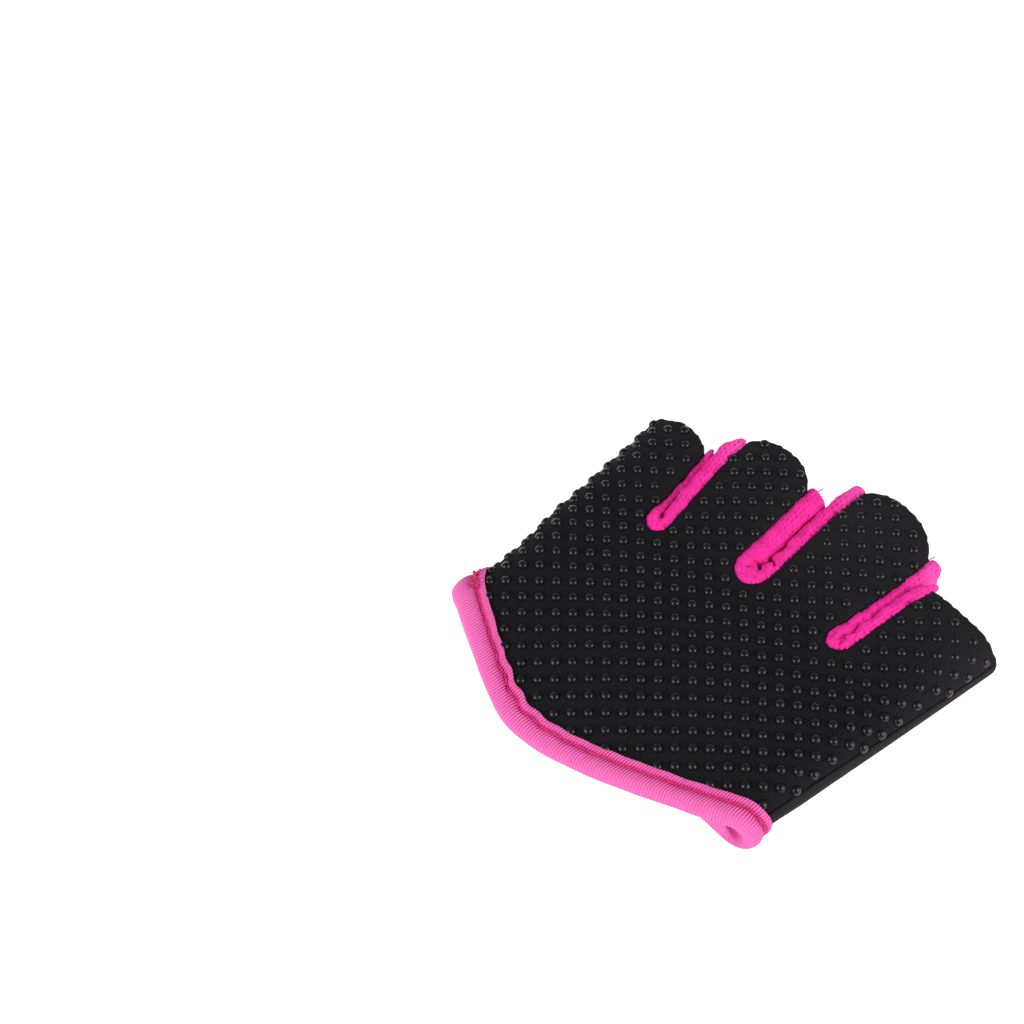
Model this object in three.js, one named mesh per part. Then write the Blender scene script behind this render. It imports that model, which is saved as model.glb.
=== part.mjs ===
// A right hand's fingerless workout glove, lying palm up: a thick dotted palm, a plain back,
// three mesh gussets between the fingers and a rolled binding round the wrist opening.
// Millimetres. X runs across the hand to the index finger, Y along it to the finger ends, Z up.

import * as THREE from "three";
import { mergeVertices } from "three/addons/utils/BufferGeometryUtils.js";

// Driving sizes of the flattened hand
const PALM_HEIGHT = 13.8;
const FINGER_RISE = 2.3;
const CUFF_DROOP = 4.0;
const RISE_LENGTH = 45;
const PALM_CROWN = 0.5;
const LITTLE_SIDE = { x: -48.7, slope: -0.06 };
const INDEX_SIDE = { x: 46.1, slope: 0.14 };
const WAIST = { depth: 0.5, y: -18, reach: 9 };
const CUFF_FLARE = { little: 1.6, index: 0.8, from: 25, to: 36 };

// Walls, and the gap that every sewn joint keeps
const PALM_WALL = 2.4;
const BACK_WALL = 1.6;
const GUSSET_WALL = 1.2;
const SEAM_GAP = 0.3;

// Seams between palm and back: one under the little finger's side, one on the index side's round edge,
// where it lies at an angle above the edge's middle and comes lower towards the finger ends
const UNDER_SEAM = 2.94;
const INDEX_SEAM = { degrees: 28, fall: 0.3 };

// Wrist edge: the palm's long tongue, and the back's shallower curve with its lift off the floor
const TONGUE = {
  x: -11.5,
  y: -50.7,
  little: { slope: 0.55, softness: 10 },
  index: { slope: 0.52, softness: 18 },
};
const BACK_EDGE = { x: 25, y: -32.3, rise: 3.3, halfWidth: 66 };
const WRIST_FLAT = { little: -42.3, index: 36.9 };
const BACK_LIFT = { height: 1.3, from: 6, to: 15 };

// Slots between the fingers, from the crotch to the two finger corners beside it; round is the share of
// the slot that its round end takes, and each side is pinched in halfway; valley is where the two legs
// of the gusset meet, as a share of the slot's width, and each leg runs on past its finger's corner
const SLOTS = [
  { name: "little_ring", crotchX: -27.1, crotchY: 5.9, width: 6.0, round: 0.12, leftX: -33.4, leftY: 30.8,
    rightX: -28.9, rightY: 39.5, pinchLeft: 0.35, pinchRight: 0.3, valley: 0.42,
    leftOver: 1.8, rightOver: 1.2 },
  { name: "ring_middle", crotchX: -2.6, crotchY: 10.7, width: 8.9, round: 0.18, leftX: -8.5, leftY: 40.0,
    rightX: 0.2, rightY: 48.9, pinchLeft: 0, pinchRight: 0.2, valley: 0.53,
    leftOver: 1.2, rightOver: 2.0 },
  { name: "middle_index", crotchX: 23.0, crotchY: 12.7, width: 6.4, round: 0.14, leftX: 23.7, leftY: 46.8,
    rightX: 29.5, rightY: 40.4, pinchLeft: 0.7, pinchRight: 0.2, valley: 0.5,
    leftOver: 1.2, rightOver: 1.4 },
];
const BACK_SLIT = 1.2;

// Fingers from the little one to the index: how far the end bows out past its corners,
// and how far the palm's flap stands above or below the even rise; a higher fullness squares the bow
const END_FULLNESS = 2.5;
const FINGERS = [
  { bow: 2.1, lift: 0.0 },
  { bow: 5.0, lift: 0.2 },
  { bow: 5.2, lift: -1.1 },
  { bow: 0.3, lift: 0.8 },
];
const LITTLE_CORNER = { x: -45.9, y: 31.5 };
const INDEX_CORNER = { x: 49.5, y: 39.2 };
const FLAP_DROP = { depth: 0.9, reach: 3 };

// Gusset: where it begins beside the palm's cut edge, and half the valley left between its legs
const GUSSET_START = 0.5;
const VALLEY_HALF = 0.4;

// Binding, across its channel: how far it covers the cloth's outer and inner side, how far the roll
// stands out past the cloth's edge and off its outer face, and the thinner walls of lip and inside
const BINDING = { lip: 4.5, inside: 3.6, roll: 2.1, crown: 1.3, thin: 0.8 };

// Fineness: rows along the hand and along a finger, and steps round the binding and the gusset's shoulder
const HAND_ROWS = 9;
const FINGER_ROWS = 9;
const ROWS = HAND_ROWS + FINGER_ROWS;
const BINDING_STATIONS = 72;
const SHOULDER_STEPS = 5;
const WELD = 0.001;
const NUDGE = 0.01;

const { lerp, clamp, smoothstep } = THREE.MathUtils;

// Height of the palm's outer face over the floor at y
function palmHeight(y) {
  const rise = y > 0 ? FINGER_RISE : -CUFF_DROOP;
  return PALM_HEIGHT + rise * (y / RISE_LENGTH) ** 2;
}

// The flattened hand's section at y: the radius of its two round edges, and where its flat faces end;
// the little finger's side has a shallow waist, and both sides flare out to the cuff
function section(y) {
  const radius = palmHeight(y) / 2;
  const waist = WAIST.depth * Math.exp(-(((y - WAIST.y) / WAIST.reach) ** 2));
  const flare = smoothstep(-y, CUFF_FLARE.from, CUFF_FLARE.to);
  const little = LITTLE_SIDE.x + LITTLE_SIDE.slope * y + waist - CUFF_FLARE.little * flare + radius;
  const index = INDEX_SIDE.x + INDEX_SIDE.slope * y + CUFF_FLARE.index * flare - radius;
  return { radius, little, index };
}

// A place round the hand is a number that grows from the little finger's round edge over the palm,
// the index side's round edge and the back, by 1 for each of these four, and repeats after them
const LITTLE_EDGE = 3;
const PALM = 4;
const INDEX_EDGE = 5;
const BACK = 6;
const FULL_ROUND = 4;

function split(place) {
  const part = ((place % FULL_ROUND) + FULL_ROUND) % FULL_ROUND;
  return { quarter: Math.floor(part), along: part - Math.floor(part) };
}

// Point on the hand's outer face at a place round it
function handPoint(place, y) {
  const { radius, little, index } = section(y);
  const { quarter, along } = split(place);
  const across = radius * Math.sin(Math.PI * along);
  const up = radius * Math.cos(Math.PI * along);
  if (quarter === 0) {
    const crown = PALM_CROWN * (4 * along * (1 - along)) ** 2;
    return new THREE.Vector3(lerp(little, index, along), y, 2 * radius + crown);
  }
  if (quarter === 1) return new THREE.Vector3(index + across, y, radius + up);
  if (quarter === 2) return new THREE.Vector3(lerp(index, little, along), y, 0);
  return new THREE.Vector3(little - across, y, radius - up);
}

// Direction straight out of the hand's face there
function handNormal(place, y) {
  const round = handPoint(place + NUDGE, y).sub(handPoint(place - NUDGE, y));
  const along = handPoint(place, y + NUDGE).sub(handPoint(place, y - NUDGE));
  return round.cross(along).normalize();
}

// Place round the hand of a point of the palm's flat face, and of the same x on the back's
function palmPlace({ x, y }) {
  const { little, index } = section(y);
  return PALM + (x - little) / (index - little);
}

function backPlace({ x, y }) {
  const { little, index } = section(y);
  return BACK + (index - x) / (index - little);
}

function tongueEdge(x) {
  const { slope, softness } = x < TONGUE.x ? TONGUE.little : TONGUE.index;
  return TONGUE.y + slope * (Math.hypot(x - TONGUE.x, softness) - softness);
}

function backEdge(x) {
  return BACK_EDGE.y + BACK_EDGE.rise * ((x - BACK_EDGE.x) / BACK_EDGE.halfWidth) ** 2;
}

// Smooth passage from one value to another that leaves and arrives with the given slopes
function passage(from, to, t) {
  const s = 1 - t;
  const level = s * s * (1 + 2 * t) * from.y + t * t * (1 + 2 * s) * to.y;
  return level + s * s * t * from.slope - t * t * s * to.slope;
}

// y of the wrist edge at a place round the hand; each side edge passes from one curve to the other
function wristEdge(place) {
  const { quarter, along } = split(place);
  const { little, index } = WRIST_FLAT;
  const sideLength = (Math.PI * palmHeight(BACK_EDGE.y)) / 2;
  const end = (edge, x, direction) => ({
    y: edge(x),
    slope: direction * sideLength * (edge(x + 0.5) - edge(x - 0.5)),
  });
  if (quarter === 0) return tongueEdge(lerp(little, index, along));
  if (quarter === 1) return passage(end(tongueEdge, index, 1), end(backEdge, index, -1), along);
  if (quarter === 2) return backEdge(lerp(index, little, along));
  return passage(end(backEdge, little, -1), end(tongueEdge, little, 1), along);
}

// Lifts the back by its wrist edge off the floor, which leaves the binding room below it
function liftBack(point, fromEdge) {
  const low = 1 - clamp(point.z / palmHeight(point.y), 0, 1);
  point.z += BACK_LIFT.height * low * (1 - smoothstep(fromEdge, BACK_LIFT.from, BACK_LIFT.to));
  return point;
}

// Share of a slot's length at a row, with rows closer together by the crotch
function fingerShare(row) {
  return (Math.max(row - HAND_ROWS, 0) / FINGER_ROWS) ** 2;
}

// How far a slot is open at a share of its length: nothing at the crotch, then a round end, then all of it
function slotOpening(slot, share) {
  const s = Math.min(share / slot.round, 1);
  return Math.sqrt(1 - (1 - s) ** 2);
}

// How far a side of the palm's slot is pinched in: most halfway
function slotPinch(slot, side, share) {
  return (side < 0 ? slot.pinchLeft : slot.pinchRight) * 4 * share * (1 - share);
}

// Point of a slot's side, -1 towards the little finger or 1 towards the index, when it is open by width
function slotSide(slot, width, side, share) {
  const trim = (slot.width - width) / 2;
  const startX = slot.crotchX + (side * width) / 2;
  const endX = (side < 0 ? slot.leftX : slot.rightX) - side * trim;
  const endY = side < 0 ? slot.leftY : slot.rightY;
  const x = lerp(startX, endX, share) - ((side * width) / 2) * (1 - slotOpening(slot, share));
  const pinch = width === slot.width ? slotPinch(slot, side, share) : 0;
  return { x: x - side * pinch, y: lerp(slot.crotchY + trim, endY, share) };
}

// Place round the hand of the seam on the index side
function indexSeam(y) {
  return INDEX_EDGE + (90 - INDEX_SEAM.degrees + INDEX_SEAM.fall * y) / 180;
}

// The two corners of a finger's end, counting from the little finger
function fingerCorners(number) {
  const last = SLOTS.length;
  return {
    left: number === 0 ? LITTLE_CORNER : slotSide(SLOTS[number - 1], SLOTS[number - 1].width, 1, 1),
    right: number === last ? INDEX_CORNER : slotSide(SLOTS[number], SLOTS[number].width, -1, 1),
  };
}

// y of a finger's end at x, bowed out between its two corners like an arch
function fingerEnd(number, x) {
  const { left, right } = fingerCorners(number);
  const share = clamp((x - left.x) / (right.x - left.x), 0, 1);
  return lerp(left.y, right.y, share) + FINGERS[number].bow * (1 - Math.abs(2 * share - 1) ** END_FULLNESS);
}

// Height that a finger's flap adds to the hand's face; beside a slot the flap sinks
function flapRise(number, share, toSlot) {
  return share * (FINGERS[number].lift - FLAP_DROP.depth * Math.exp(-toSlot / FLAP_DROP.reach));
}

// Lines from the wrist edge to a finger's end: along a slot's side, or at a place given for each y
function slotLine(slot, width, side, placeOf) {
  return {
    crotchY: slotSide(slot, width, side, 0).y,
    placeAt: (row) => placeOf(slotSide(slot, width, side, fingerShare(row))),
    open: true,
  };
}

function plainLine(slot, placeAtY) {
  return { crotchY: slot.crotchY, placeAt: (row, y) => placeAtY(y), open: false };
}

// Points of a strip of cloth between two lines, column by column from the wrist edge to the finger's end
function strip({ finger, from, to, columns }) {
  const { left, right } = fingerCorners(finger);
  const width = right.x - left.x;
  const grid = [];
  for (let column = 0; column <= columns; column++) {
    const across = column / columns;
    const crotchY = lerp(from.crotchY, to.crotchY, across);
    const placeAt = (row, y) => lerp(from.placeAt(row, y), to.placeAt(row, y), across);
    const startY = wristEdge(placeAt(0, crotchY));
    const endY = fingerEnd(finger, handPoint(placeAt(ROWS, left.y), left.y).x);
    const toSlot = width * Math.min(from.open ? across : 1, to.open ? 1 - across : 1);
    const line = [];
    for (let row = 0; row <= ROWS; row++) {
      const share = fingerShare(row);
      const y = row < HAND_ROWS ? lerp(startY, crotchY, row / HAND_ROWS) : lerp(crotchY, endY, share);
      const point = handPoint(placeAt(row, y), y);
      point.z += clamp(point.z / palmHeight(y), 0, 1) * flapRise(finger, share, toSlot);
      line.push({ point: liftBack(point, y - startY), normal: handNormal(placeAt(row, y), y) });
    }
    grid.push(line);
  }
  return grid;
}

// Welded surface through grids of points, facing up where a grid's lines run to +X and its points to +Y
function surface(grids) {
  const positions = [];
  const normals = [];
  for (const grid of grids) {
    for (let i = 0; i + 1 < grid.length; i++) {
      for (let j = 0; j + 1 < grid[i].length; j++) {
        const [a, b, c, d] = [grid[i][j], grid[i + 1][j], grid[i + 1][j + 1], grid[i][j + 1]];
        for (const { point, normal } of [a, b, c, a, c, d]) {
          positions.push(...point);
          normals.push(...normal);
        }
      }
    }
  }
  const loose = new THREE.BufferGeometry();
  loose.setAttribute("position", new THREE.Float32BufferAttribute(positions, 3));
  loose.setAttribute("normal", new THREE.Float32BufferAttribute(normals, 3));
  return mergeVertices(loose, WELD);
}

// Closed solid from an open sheet: its outer face, the same face set in by the wall, and its rim
function thicken(sheet, wall) {
  const outer = sheet.getAttribute("position");
  const normals = sheet.getAttribute("normal");
  const points = [];
  for (const depth of [0, wall]) {
    for (let i = 0; i < outer.count; i++) {
      const normal = new THREE.Vector3().fromBufferAttribute(normals, i);
      points.push(...new THREE.Vector3().fromBufferAttribute(outer, i).addScaledVector(normal, -depth));
    }
  }
  const faces = [];
  const edges = new Set();
  const corners = sheet.index.array;
  for (let i = 0; i < corners.length; i += 3) {
    const [a, b, c] = corners.slice(i, i + 3);
    if (a === b || b === c || c === a) continue;
    faces.push(a, b, c, c + outer.count, b + outer.count, a + outer.count);
    edges.add(`${a},${b}`).add(`${b},${c}`).add(`${c},${a}`);
  }
  for (const edge of edges) {
    const [p, q] = edge.split(",").map(Number);
    if (edges.has(`${q},${p}`)) continue;
    faces.push(q, p, p + outer.count, q, p + outer.count, q + outer.count);
  }
  const solid = new THREE.BufferGeometry();
  solid.setAttribute("position", new THREE.Float32BufferAttribute(points, 3));
  solid.setIndex(faces);
  solid.computeVertexNormals();
  return solid;
}

// The palm: from its seam under the little finger, round that side and over the hand to the index seam
function palmPanel() {
  const [first, second, third] = SLOTS;
  const left = (slot) => slotLine(slot, slot.width, -1, palmPlace);
  const right = (slot) => slotLine(slot, slot.width, 1, palmPlace);
  const littleAt = (place) => plainLine(first, () => place);
  const indexAt = (placeAtY) => plainLine(third, placeAtY);
  const strips = [
    { finger: 0, from: littleAt(UNDER_SEAM), to: littleAt(LITTLE_EDGE), columns: 1 },
    { finger: 0, from: littleAt(LITTLE_EDGE), to: littleAt(PALM), columns: 8 },
    { finger: 0, from: littleAt(PALM), to: left(first), columns: 3 },
    { finger: 1, from: right(first), to: left(second), columns: 6 },
    { finger: 2, from: right(second), to: left(third), columns: 6 },
    { finger: 3, from: right(third), to: indexAt(() => INDEX_EDGE), columns: 4 },
    { finger: 3, from: indexAt(() => INDEX_EDGE), to: indexAt(indexSeam), columns: 3 },
  ];
  return thicken(surface(strips.map(strip)), PALM_WALL);
}

// The back: from the index seam down round that edge and across under the hand to the little finger's seam
function backPanel() {
  const [first, second, third] = SLOTS;
  const left = (slot) => slotLine(slot, BACK_SLIT, -1, backPlace);
  const right = (slot) => slotLine(slot, BACK_SLIT, 1, backPlace);
  const afterSeam = plainLine(third, (y) => indexSeam(y) + SEAM_GAP / (Math.PI * section(y).radius));
  const edge = plainLine(third, () => BACK);
  const beforeSeam = plainLine(first, (y) => {
    const { little, index } = section(y);
    return FULL_ROUND + UNDER_SEAM - SEAM_GAP / (index - little);
  });
  const strips = [
    { finger: 3, from: afterSeam, to: edge, columns: 5 },
    { finger: 3, from: edge, to: right(third), columns: 3 },
    { finger: 2, from: left(third), to: right(second), columns: 6 },
    { finger: 1, from: left(second), to: right(first), columns: 6 },
    { finger: 0, from: left(first), to: beforeSeam, columns: 3 },
  ];
  return thicken(surface(strips.map(strip)), BACK_WALL);
}

// Points along the palm's cut edge at a slot: down the lower finger's side, round the crotch, up the other;
// the first and the last lie past the finger's corner
function slotPath(slot, number) {
  const station = (side, share) => {
    const point = slotSide(slot, slot.width, side, share);
    const finger = side < 0 ? number : number + 1;
    const height = palmHeight(point.y) + flapRise(finger, share, 0);
    const legShare = side < 0 ? slot.valley : 1 - slot.valley;
    const leg = slot.width * lerp(0.5, legShare, slotOpening(slot, share)) - slotPinch(slot, side, share);
    return { ...point, height, leg };
  };
  const path = [station(-1, 1 + slot.leftOver / (slot.leftY - slot.crotchY))];
  for (let row = ROWS; row > HAND_ROWS; row--) path.push(station(-1, fingerShare(row)));
  for (let row = HAND_ROWS; row <= ROWS; row++) path.push(station(1, fingerShare(row)));
  path.push(station(1, 1 + slot.rightOver / (slot.rightY - slot.crotchY)));
  return path;
}

// A gusset: a mesh wall that starts at the palm's cut edge, turns over a round shoulder
// and drops to the back's flap, all the way round its slot
function gusset(slot, number) {
  const path = slotPath(slot, number);
  const grid = path.map((station, i) => {
    const before = path[Math.max(i - 1, 0)];
    const after = path[Math.min(i + 1, path.length - 1)];
    const inward = new THREE.Vector3(before.y - after.y, after.x - before.x, 0).normalize();
    const shoulder = station.leg - GUSSET_START - VALLEY_HALF;
    const top = station.height - (PALM_WALL - GUSSET_WALL) / 2;
    const start = new THREE.Vector3(station.x, station.y, top - shoulder);
    start.addScaledVector(inward, GUSSET_START);
    const line = [];
    for (let step = 0; step <= SHOULDER_STEPS; step++) {
      const turn = ((Math.PI / 2) * step) / SHOULDER_STEPS;
      const normal = inward.clone().multiplyScalar(Math.sin(turn)).setZ(Math.cos(turn));
      line.push({ point: start.clone().addScaledVector(normal, shoulder), normal });
    }
    const { point: knee, normal } = line[SHOULDER_STEPS];
    const foot = knee.clone().setZ(BACK_WALL + SEAM_GAP);
    line.push({ point: knee.clone().lerp(foot, 0.5), normal }, { point: foot, normal });
    return line;
  });
  return thicken(surface([grid]), GUSSET_WALL);
}

// The binding's profile round a cloth edge, "out" past the edge and "off" the cloth's outer face
function bindingProfile(wall) {
  const { lip, inside, roll, crown, thin } = BINDING;
  const middle = -wall / 2;
  const under = -wall - SEAM_GAP - thin;
  const diagonal = Math.SQRT1_2;
  return [
    { out: SEAM_GAP, off: SEAM_GAP },
    { out: SEAM_GAP, off: -wall - SEAM_GAP },
    { out: -inside, off: -wall - SEAM_GAP },
    { out: -inside, off: under },
    { out: 0, off: under },
    { out: roll * diagonal, off: lerp(middle, under, diagonal) },
    { out: roll, off: middle },
    { out: roll * diagonal, off: lerp(middle, crown, diagonal) },
    { out: 0, off: crown },
    { out: -lip / 2, off: crown },
    { out: -lip, off: SEAM_GAP + thin },
    { out: -lip, off: SEAM_GAP },
  ];
}

// The binding: a channel that grips the wrist edge all the way round the opening and follows the cloth
function cuffBinding() {
  const seam = indexSeam(wristEdge(INDEX_EDGE)) - FULL_ROUND;
  const edge = (place, inward) => liftBack(handPoint(place, wristEdge(place) + inward), inward);
  const placeOf = (station) => (FULL_ROUND * (station % BINDING_STATIONS)) / BINDING_STATIONS;
  const isPalm = (place) => place < seam || place > UNDER_SEAM;
  const grid = [];
  for (let station = 0; station <= BINDING_STATIONS; station++) {
    const place = placeOf(station);
    const round = edge(place + NUDGE, 0).sub(edge(place - NUDGE, 0)).normalize();
    const out = round.clone().cross(handNormal(place, wristEdge(place))).normalize();
    const beside = [BINDING_STATIONS - 1, 0, 1].map((step) => placeOf(station + step));
    const line = bindingProfile(beside.some(isPalm) ? PALM_WALL : BACK_WALL).map((p) => {
      const covered = Math.max(-p.out, 0) / -out.y;
      const normal = handNormal(place, wristEdge(place) + covered);
      const point = edge(place, covered).addScaledVector(out, Math.max(p.out, 0));
      return { point: point.addScaledVector(normal, p.off), normal };
    });
    grid.push([...line, line[0]]);
  }
  const solid = surface([grid]);
  solid.computeVertexNormals();
  return solid;
}

function piece(name, geometry, color, roughness) {
  const material = new THREE.MeshStandardMaterial({ color, roughness, metalness: 0 });
  const mesh = new THREE.Mesh(geometry, material);
  mesh.name = name;
  return mesh;
}

const glove = new THREE.Group();
glove.add(piece("palm_panel", palmPanel(), "#1c1b1d", 0.7));
glove.add(piece("back_panel", backPanel(), "#1a191b", 0.8));
SLOTS.forEach((slot, number) => {
  glove.add(piece(`gusset_${slot.name}`, gusset(slot, number), "#f0309c", 0.85));
});
glove.add(piece("cuff_binding", cuffBinding(), "#f565bd", 0.6));

// The frame's origin lies on the floor below the middle of the glove
const box = new THREE.Box3().setFromObject(glove);
const middle = box.getCenter(new THREE.Vector3());
glove.position.set(-middle.x, -middle.y, -box.min.z);

export default glove;
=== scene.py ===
"""A right hand's fingerless workout glove, lying palm up on a white floor.

Sizes are in millimetres in the cutting frame: x runs across the hand to the index finger, y along it to the
finger ends and z up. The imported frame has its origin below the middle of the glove, so MIDDLE comes off last.
"""
from functools import partialmethod
from types import SimpleNamespace as Sizes

import bpy
import numpy as np
from mathutils import Matrix, Vector


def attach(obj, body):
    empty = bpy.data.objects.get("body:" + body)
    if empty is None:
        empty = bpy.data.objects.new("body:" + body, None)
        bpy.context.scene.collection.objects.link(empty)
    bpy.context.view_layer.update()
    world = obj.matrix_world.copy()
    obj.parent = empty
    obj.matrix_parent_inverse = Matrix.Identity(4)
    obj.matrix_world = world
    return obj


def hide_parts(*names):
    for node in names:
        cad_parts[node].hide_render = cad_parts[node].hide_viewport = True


MM = 0.001
MIDDLE = np.array([0.472, 0.418, 0.0])

# The flattened hand: heights of the palm's face, and the lines of its two sides with their waist and flare
PALM_HEIGHT = 13.8
FINGER_RISE = 2.3
CUFF_DROOP = 4.0
RISE_LENGTH = 45
PALM_CROWN = 0.5
LITTLE_SIDE = Sizes(x=-48.7, slope=-0.06)
INDEX_SIDE = Sizes(x=46.1, slope=0.14)
WAIST = Sizes(depth=0.5, y=-18, reach=9)
CUFF_FLARE = Sizes(little=1.6, index=0.8, start=25, end=36)

# Walls, the gap that every sewn joint keeps, and how the inner face follows an edge that is rounded off
PALM_WALL = 2.4
BACK_WALL = 1.6
GUSSET_WALL = 1.0
SEAM_GAP = 0.3
INNER_FALL = 0.6
LEAST_WALL = 0.1

# Seams between palm and back, and the wrist edge of each
UNDER_SEAM = 2.94
INDEX_SEAM = Sizes(degrees=28, fall=0.3)
TONGUE = Sizes(x=-11.5, y=-50.7, little=Sizes(slope=0.55, softness=10),
               index=Sizes(slope=0.52, softness=18))
BACK_EDGE = Sizes(x=25, y=-32.3, rise=3.3, half_width=66)
WRIST_FLAT = Sizes(little=-42.3, index=36.9)
BACK_LIFT = Sizes(height=1.3, start=6, end=15)

# Slots between the fingers. Crotch is a slot's lower end, round the share of its length that the round end
# takes, left and right are the finger corners beside it, and pinch is how far each side is drawn in
# halfway. The cleft between the gusset's two legs starts so far in from the crotch. Valley is where it
# lies there and further on, as a share of the width, and press is how far the legs are pushed together.
# Bulge is how far the left leg, the right leg and the pad at the crotch stand over the palm, and lap how
# far each leg hangs over the palm's edge. Over is how far a leg runs past its finger's corner, taper how
# much its end narrows and hem how high its ribs are. A kink moves the cleft to the index finger's side,
# with its y, size and reach. A crease has two ends and a depth. Cut is the gusset's flat size in metres.
SLOTS = [
    Sizes(name="little_ring", crotch=(-27.1, 5.9), width=6.0, round=0.12,
          left=(-33.4, 30.8), right=(-28.9, 39.5), pinch=(0.35, 0.3), valley=(0.48, 0.36), cleft=5.4,
          bulge=(-0.8, 0.9, 0.8), lap=(0.0, 0.35), press=0.12, over=(2.4, 0.9), taper=(0.0, 0.5), hem=0.05,
          kinks=(),
          creases=[((-28.4, 11.1), (-29.5, 10.7), 0.4), ((-27.9, 10.8), (-27.3, 9.6), 0.35)],
          cut=(0.0150, 0.066)),
    Sizes(name="ring_middle", crotch=(-2.6, 10.7), width=8.9, round=0.18,
          left=(-8.5, 40.0), right=(0.2, 48.9), pinch=(0.0, 0.2), valley=(0.55, 0.57), cleft=7.0,
          bulge=(0.3, 0.4, 0.9), lap=(0.35, 0.15), press=-0.08, over=(2.0, 1.8), taper=(0.0, 0.2), hem=0.3,
          kinks=((20.0, 0.7, 1.3), (24.8, 0.55, 2.5)),
          creases=[((-2.3, 20.9), (0.0, 19.4), 0.7), ((-2.9, 17.4), (-3.9, 16.9), 0.5),
                   ((-2.5, 17.2), (-1.6, 16.3), 0.45), ((-3.6, 15.8), (-3.9, 14.6), 0.4)],
          cut=(0.0155, 0.080)),
    Sizes(name="middle_index", crotch=(23.0, 12.7), width=6.4, round=0.14,
          left=(23.7, 46.8), right=(29.5, 40.4), pinch=(0.7, 0.2), valley=(0.5, 0.5), cleft=4.0,
          bulge=(0.2, 0.5, 0.7), lap=(0.1, 0.2), press=0.2, over=(1.2, 1.8), taper=(0.1, 0.6), hem=0.05,
          kinks=((19.4, 1.2, 1.2), (25.1, 0.35, 1.0)),
          creases=[((23.7, 16.9), (24.5, 16.6), 0.5), ((21.9, 14.9), (21.7, 16.1), 0.4),
                   ((24.2, 15.6), (24.6, 14.4), 0.45)],
          cut=(0.0155, 0.072)),
]
HOOK = Sizes(out=0.8, start=0.75, end=1.05)
ROUND_ROWS = 0.1
BACK_SLIT = 0.3

# Gusset's section beside the palm's cut edge: where the wall starts, where its arch springs from, and the
# most that the arch and the fall into the cleft take, in millimetres and as shares; then the steps of each
# part
ARCH = Sizes(inset=0.2, start=1.9, spring=1.1, near=1.6, near_share=0.42, drop=3.0, drop_share=0.9)
ARCH_STEPS = Sizes(up=11, over=20, down=26)

# Gusset along the slot: the pad's run as shares of the cleft's start, the valley's passage, the bend into
# the cleft, how the legs' ends narrow, sink and round off, and the spacing of the stations
LEGS = Sizes(pad=(0.5, 1.9), passage=9, bend=0.8, early=0.3, narrowing=4.5, sinking=4, sunk=0.5, rounding=1.0,
             round_steps=40, step=0.17)
LEG_RIBS = Sizes(pitch=1.05, start=5, full=1, girth=(2.5, 3.5))
# Painted light: the gusset's legs grow paler over these millimetres towards their ends, for light through the
# thin mesh
PAINTED_LIGHT_TIP = Sizes(start=12, full=1)
CREASE_HALF_WIDTH = 0.38

# Teeth of the overlocked seam between gusset and palm: two pitches with a drift, and where they lie
TEETH = Sizes(pitch=1.5, drift=1.3, drift_reach=3.7, fine=0.6, fine_pitch=1.1, right=0.17, left=0.05,
              start=2, girth=1.4, reach=0.9)

# Waves: each has a height, its turn per unit of every coordinate and a start angle. The cloth goes by x
# and y, a finger's end by x and the finger's number, a gusset's legs by length, girth and the slot's
# number, its pad by x, y and the slot's number, and the tape by its length.
CLOTH_WAVES = ((0.10, 0.21, 0.13, 0.6), (0.08, -0.17, 0.33, 1.9), (0.05, 0.62, 0.4, 2.2),
               (0.04, -0.5, 0.9, 0))
END_WAVES = ((0.13, 2.3, 1, 0), (0.08, 4.1, 2, 0))
LEG_WAVES = ((0.11, 1.15, 0.6, 1, 0), (0.07, -0.8, 1.9, 0, 1), (0.045, 2.9, -0.7, 1, 0))
PAD_WAVES = ((0.09, 1.7, 0.8, 1, 0), (0.07, -1.2, 2.1, 0, 0), (0.03, 4.6, 2, 0, 0))
TAPE_WAVES = ((0.05, 1 / 4.1, 0), (0.04, 1 / 1.9, 1))

# Fingers from the little one to the index: bow of the end past its corners, lift of the palm's flap, and
# how far the flap's dots have moved across and along, FLAP_RUN beyond the flap's base
FINGERS = [
    Sizes(bow=2.1, lift=0.0, base=5.5, drift=(-3.0, 1.9)),
    Sizes(bow=5.0, lift=0.2, base=8.0, drift=(-4.5, 2.6)),
    Sizes(bow=5.2, lift=-1.1, base=11.3, drift=(-2.1, 2.9)),
    Sizes(bow=0.3, lift=0.8, base=12.2, drift=(-2.1, 3.5)),
]
FLAP_RUN = 30
END_FULLNESS = 2.5
LITTLE_CORNER = (-45.9, 31.5)
INDEX_CORNER = (49.5, 39.2)
FLAP_DROP = Sizes(depth=0.9, reach=3)

# Rows are spaced for fingers of this length, columns by a strip's width so far beyond the crotch
FINGER_LENGTH = 32
FLAP_MIDDLE = 14

# Places round the hand grow by 1 over each of its four stretches and repeat after them
LITTLE_EDGE = 3
PALM = 4
INDEX_EDGE = 5
BACK = 6
FULL_ROUND = 4
NUDGE = 0.01

# Fineness of the cloth grids: spacing in the middle, the finer steps in from every sewn or cut edge, and
# the roundings of the edges; where the soft waves are calm; a slot's outline, with its end past the
# corners as a share; how many points are measured at once; and the parts of a millimetre that welding
# rounds to
STEP = 0.75
EDGE_STEPS = np.array([0.0, 0.08, 0.22, 0.45, 0.75, 1.15])
HAND_ROWS = 66
BEND_ROWS = 12
PALM_ROUNDING = 0.9
BACK_ROUNDING = 0.5
SEAM_ROUNDING = 0.4
CALM = Sizes(border=3, wrist_start=5, wrist_end=9)
OUTLINE = Sizes(round_steps=30, steps=200, end=1.1)
POINTS_AT_ONCE = 60
WELD_PARTS = 500

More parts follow.
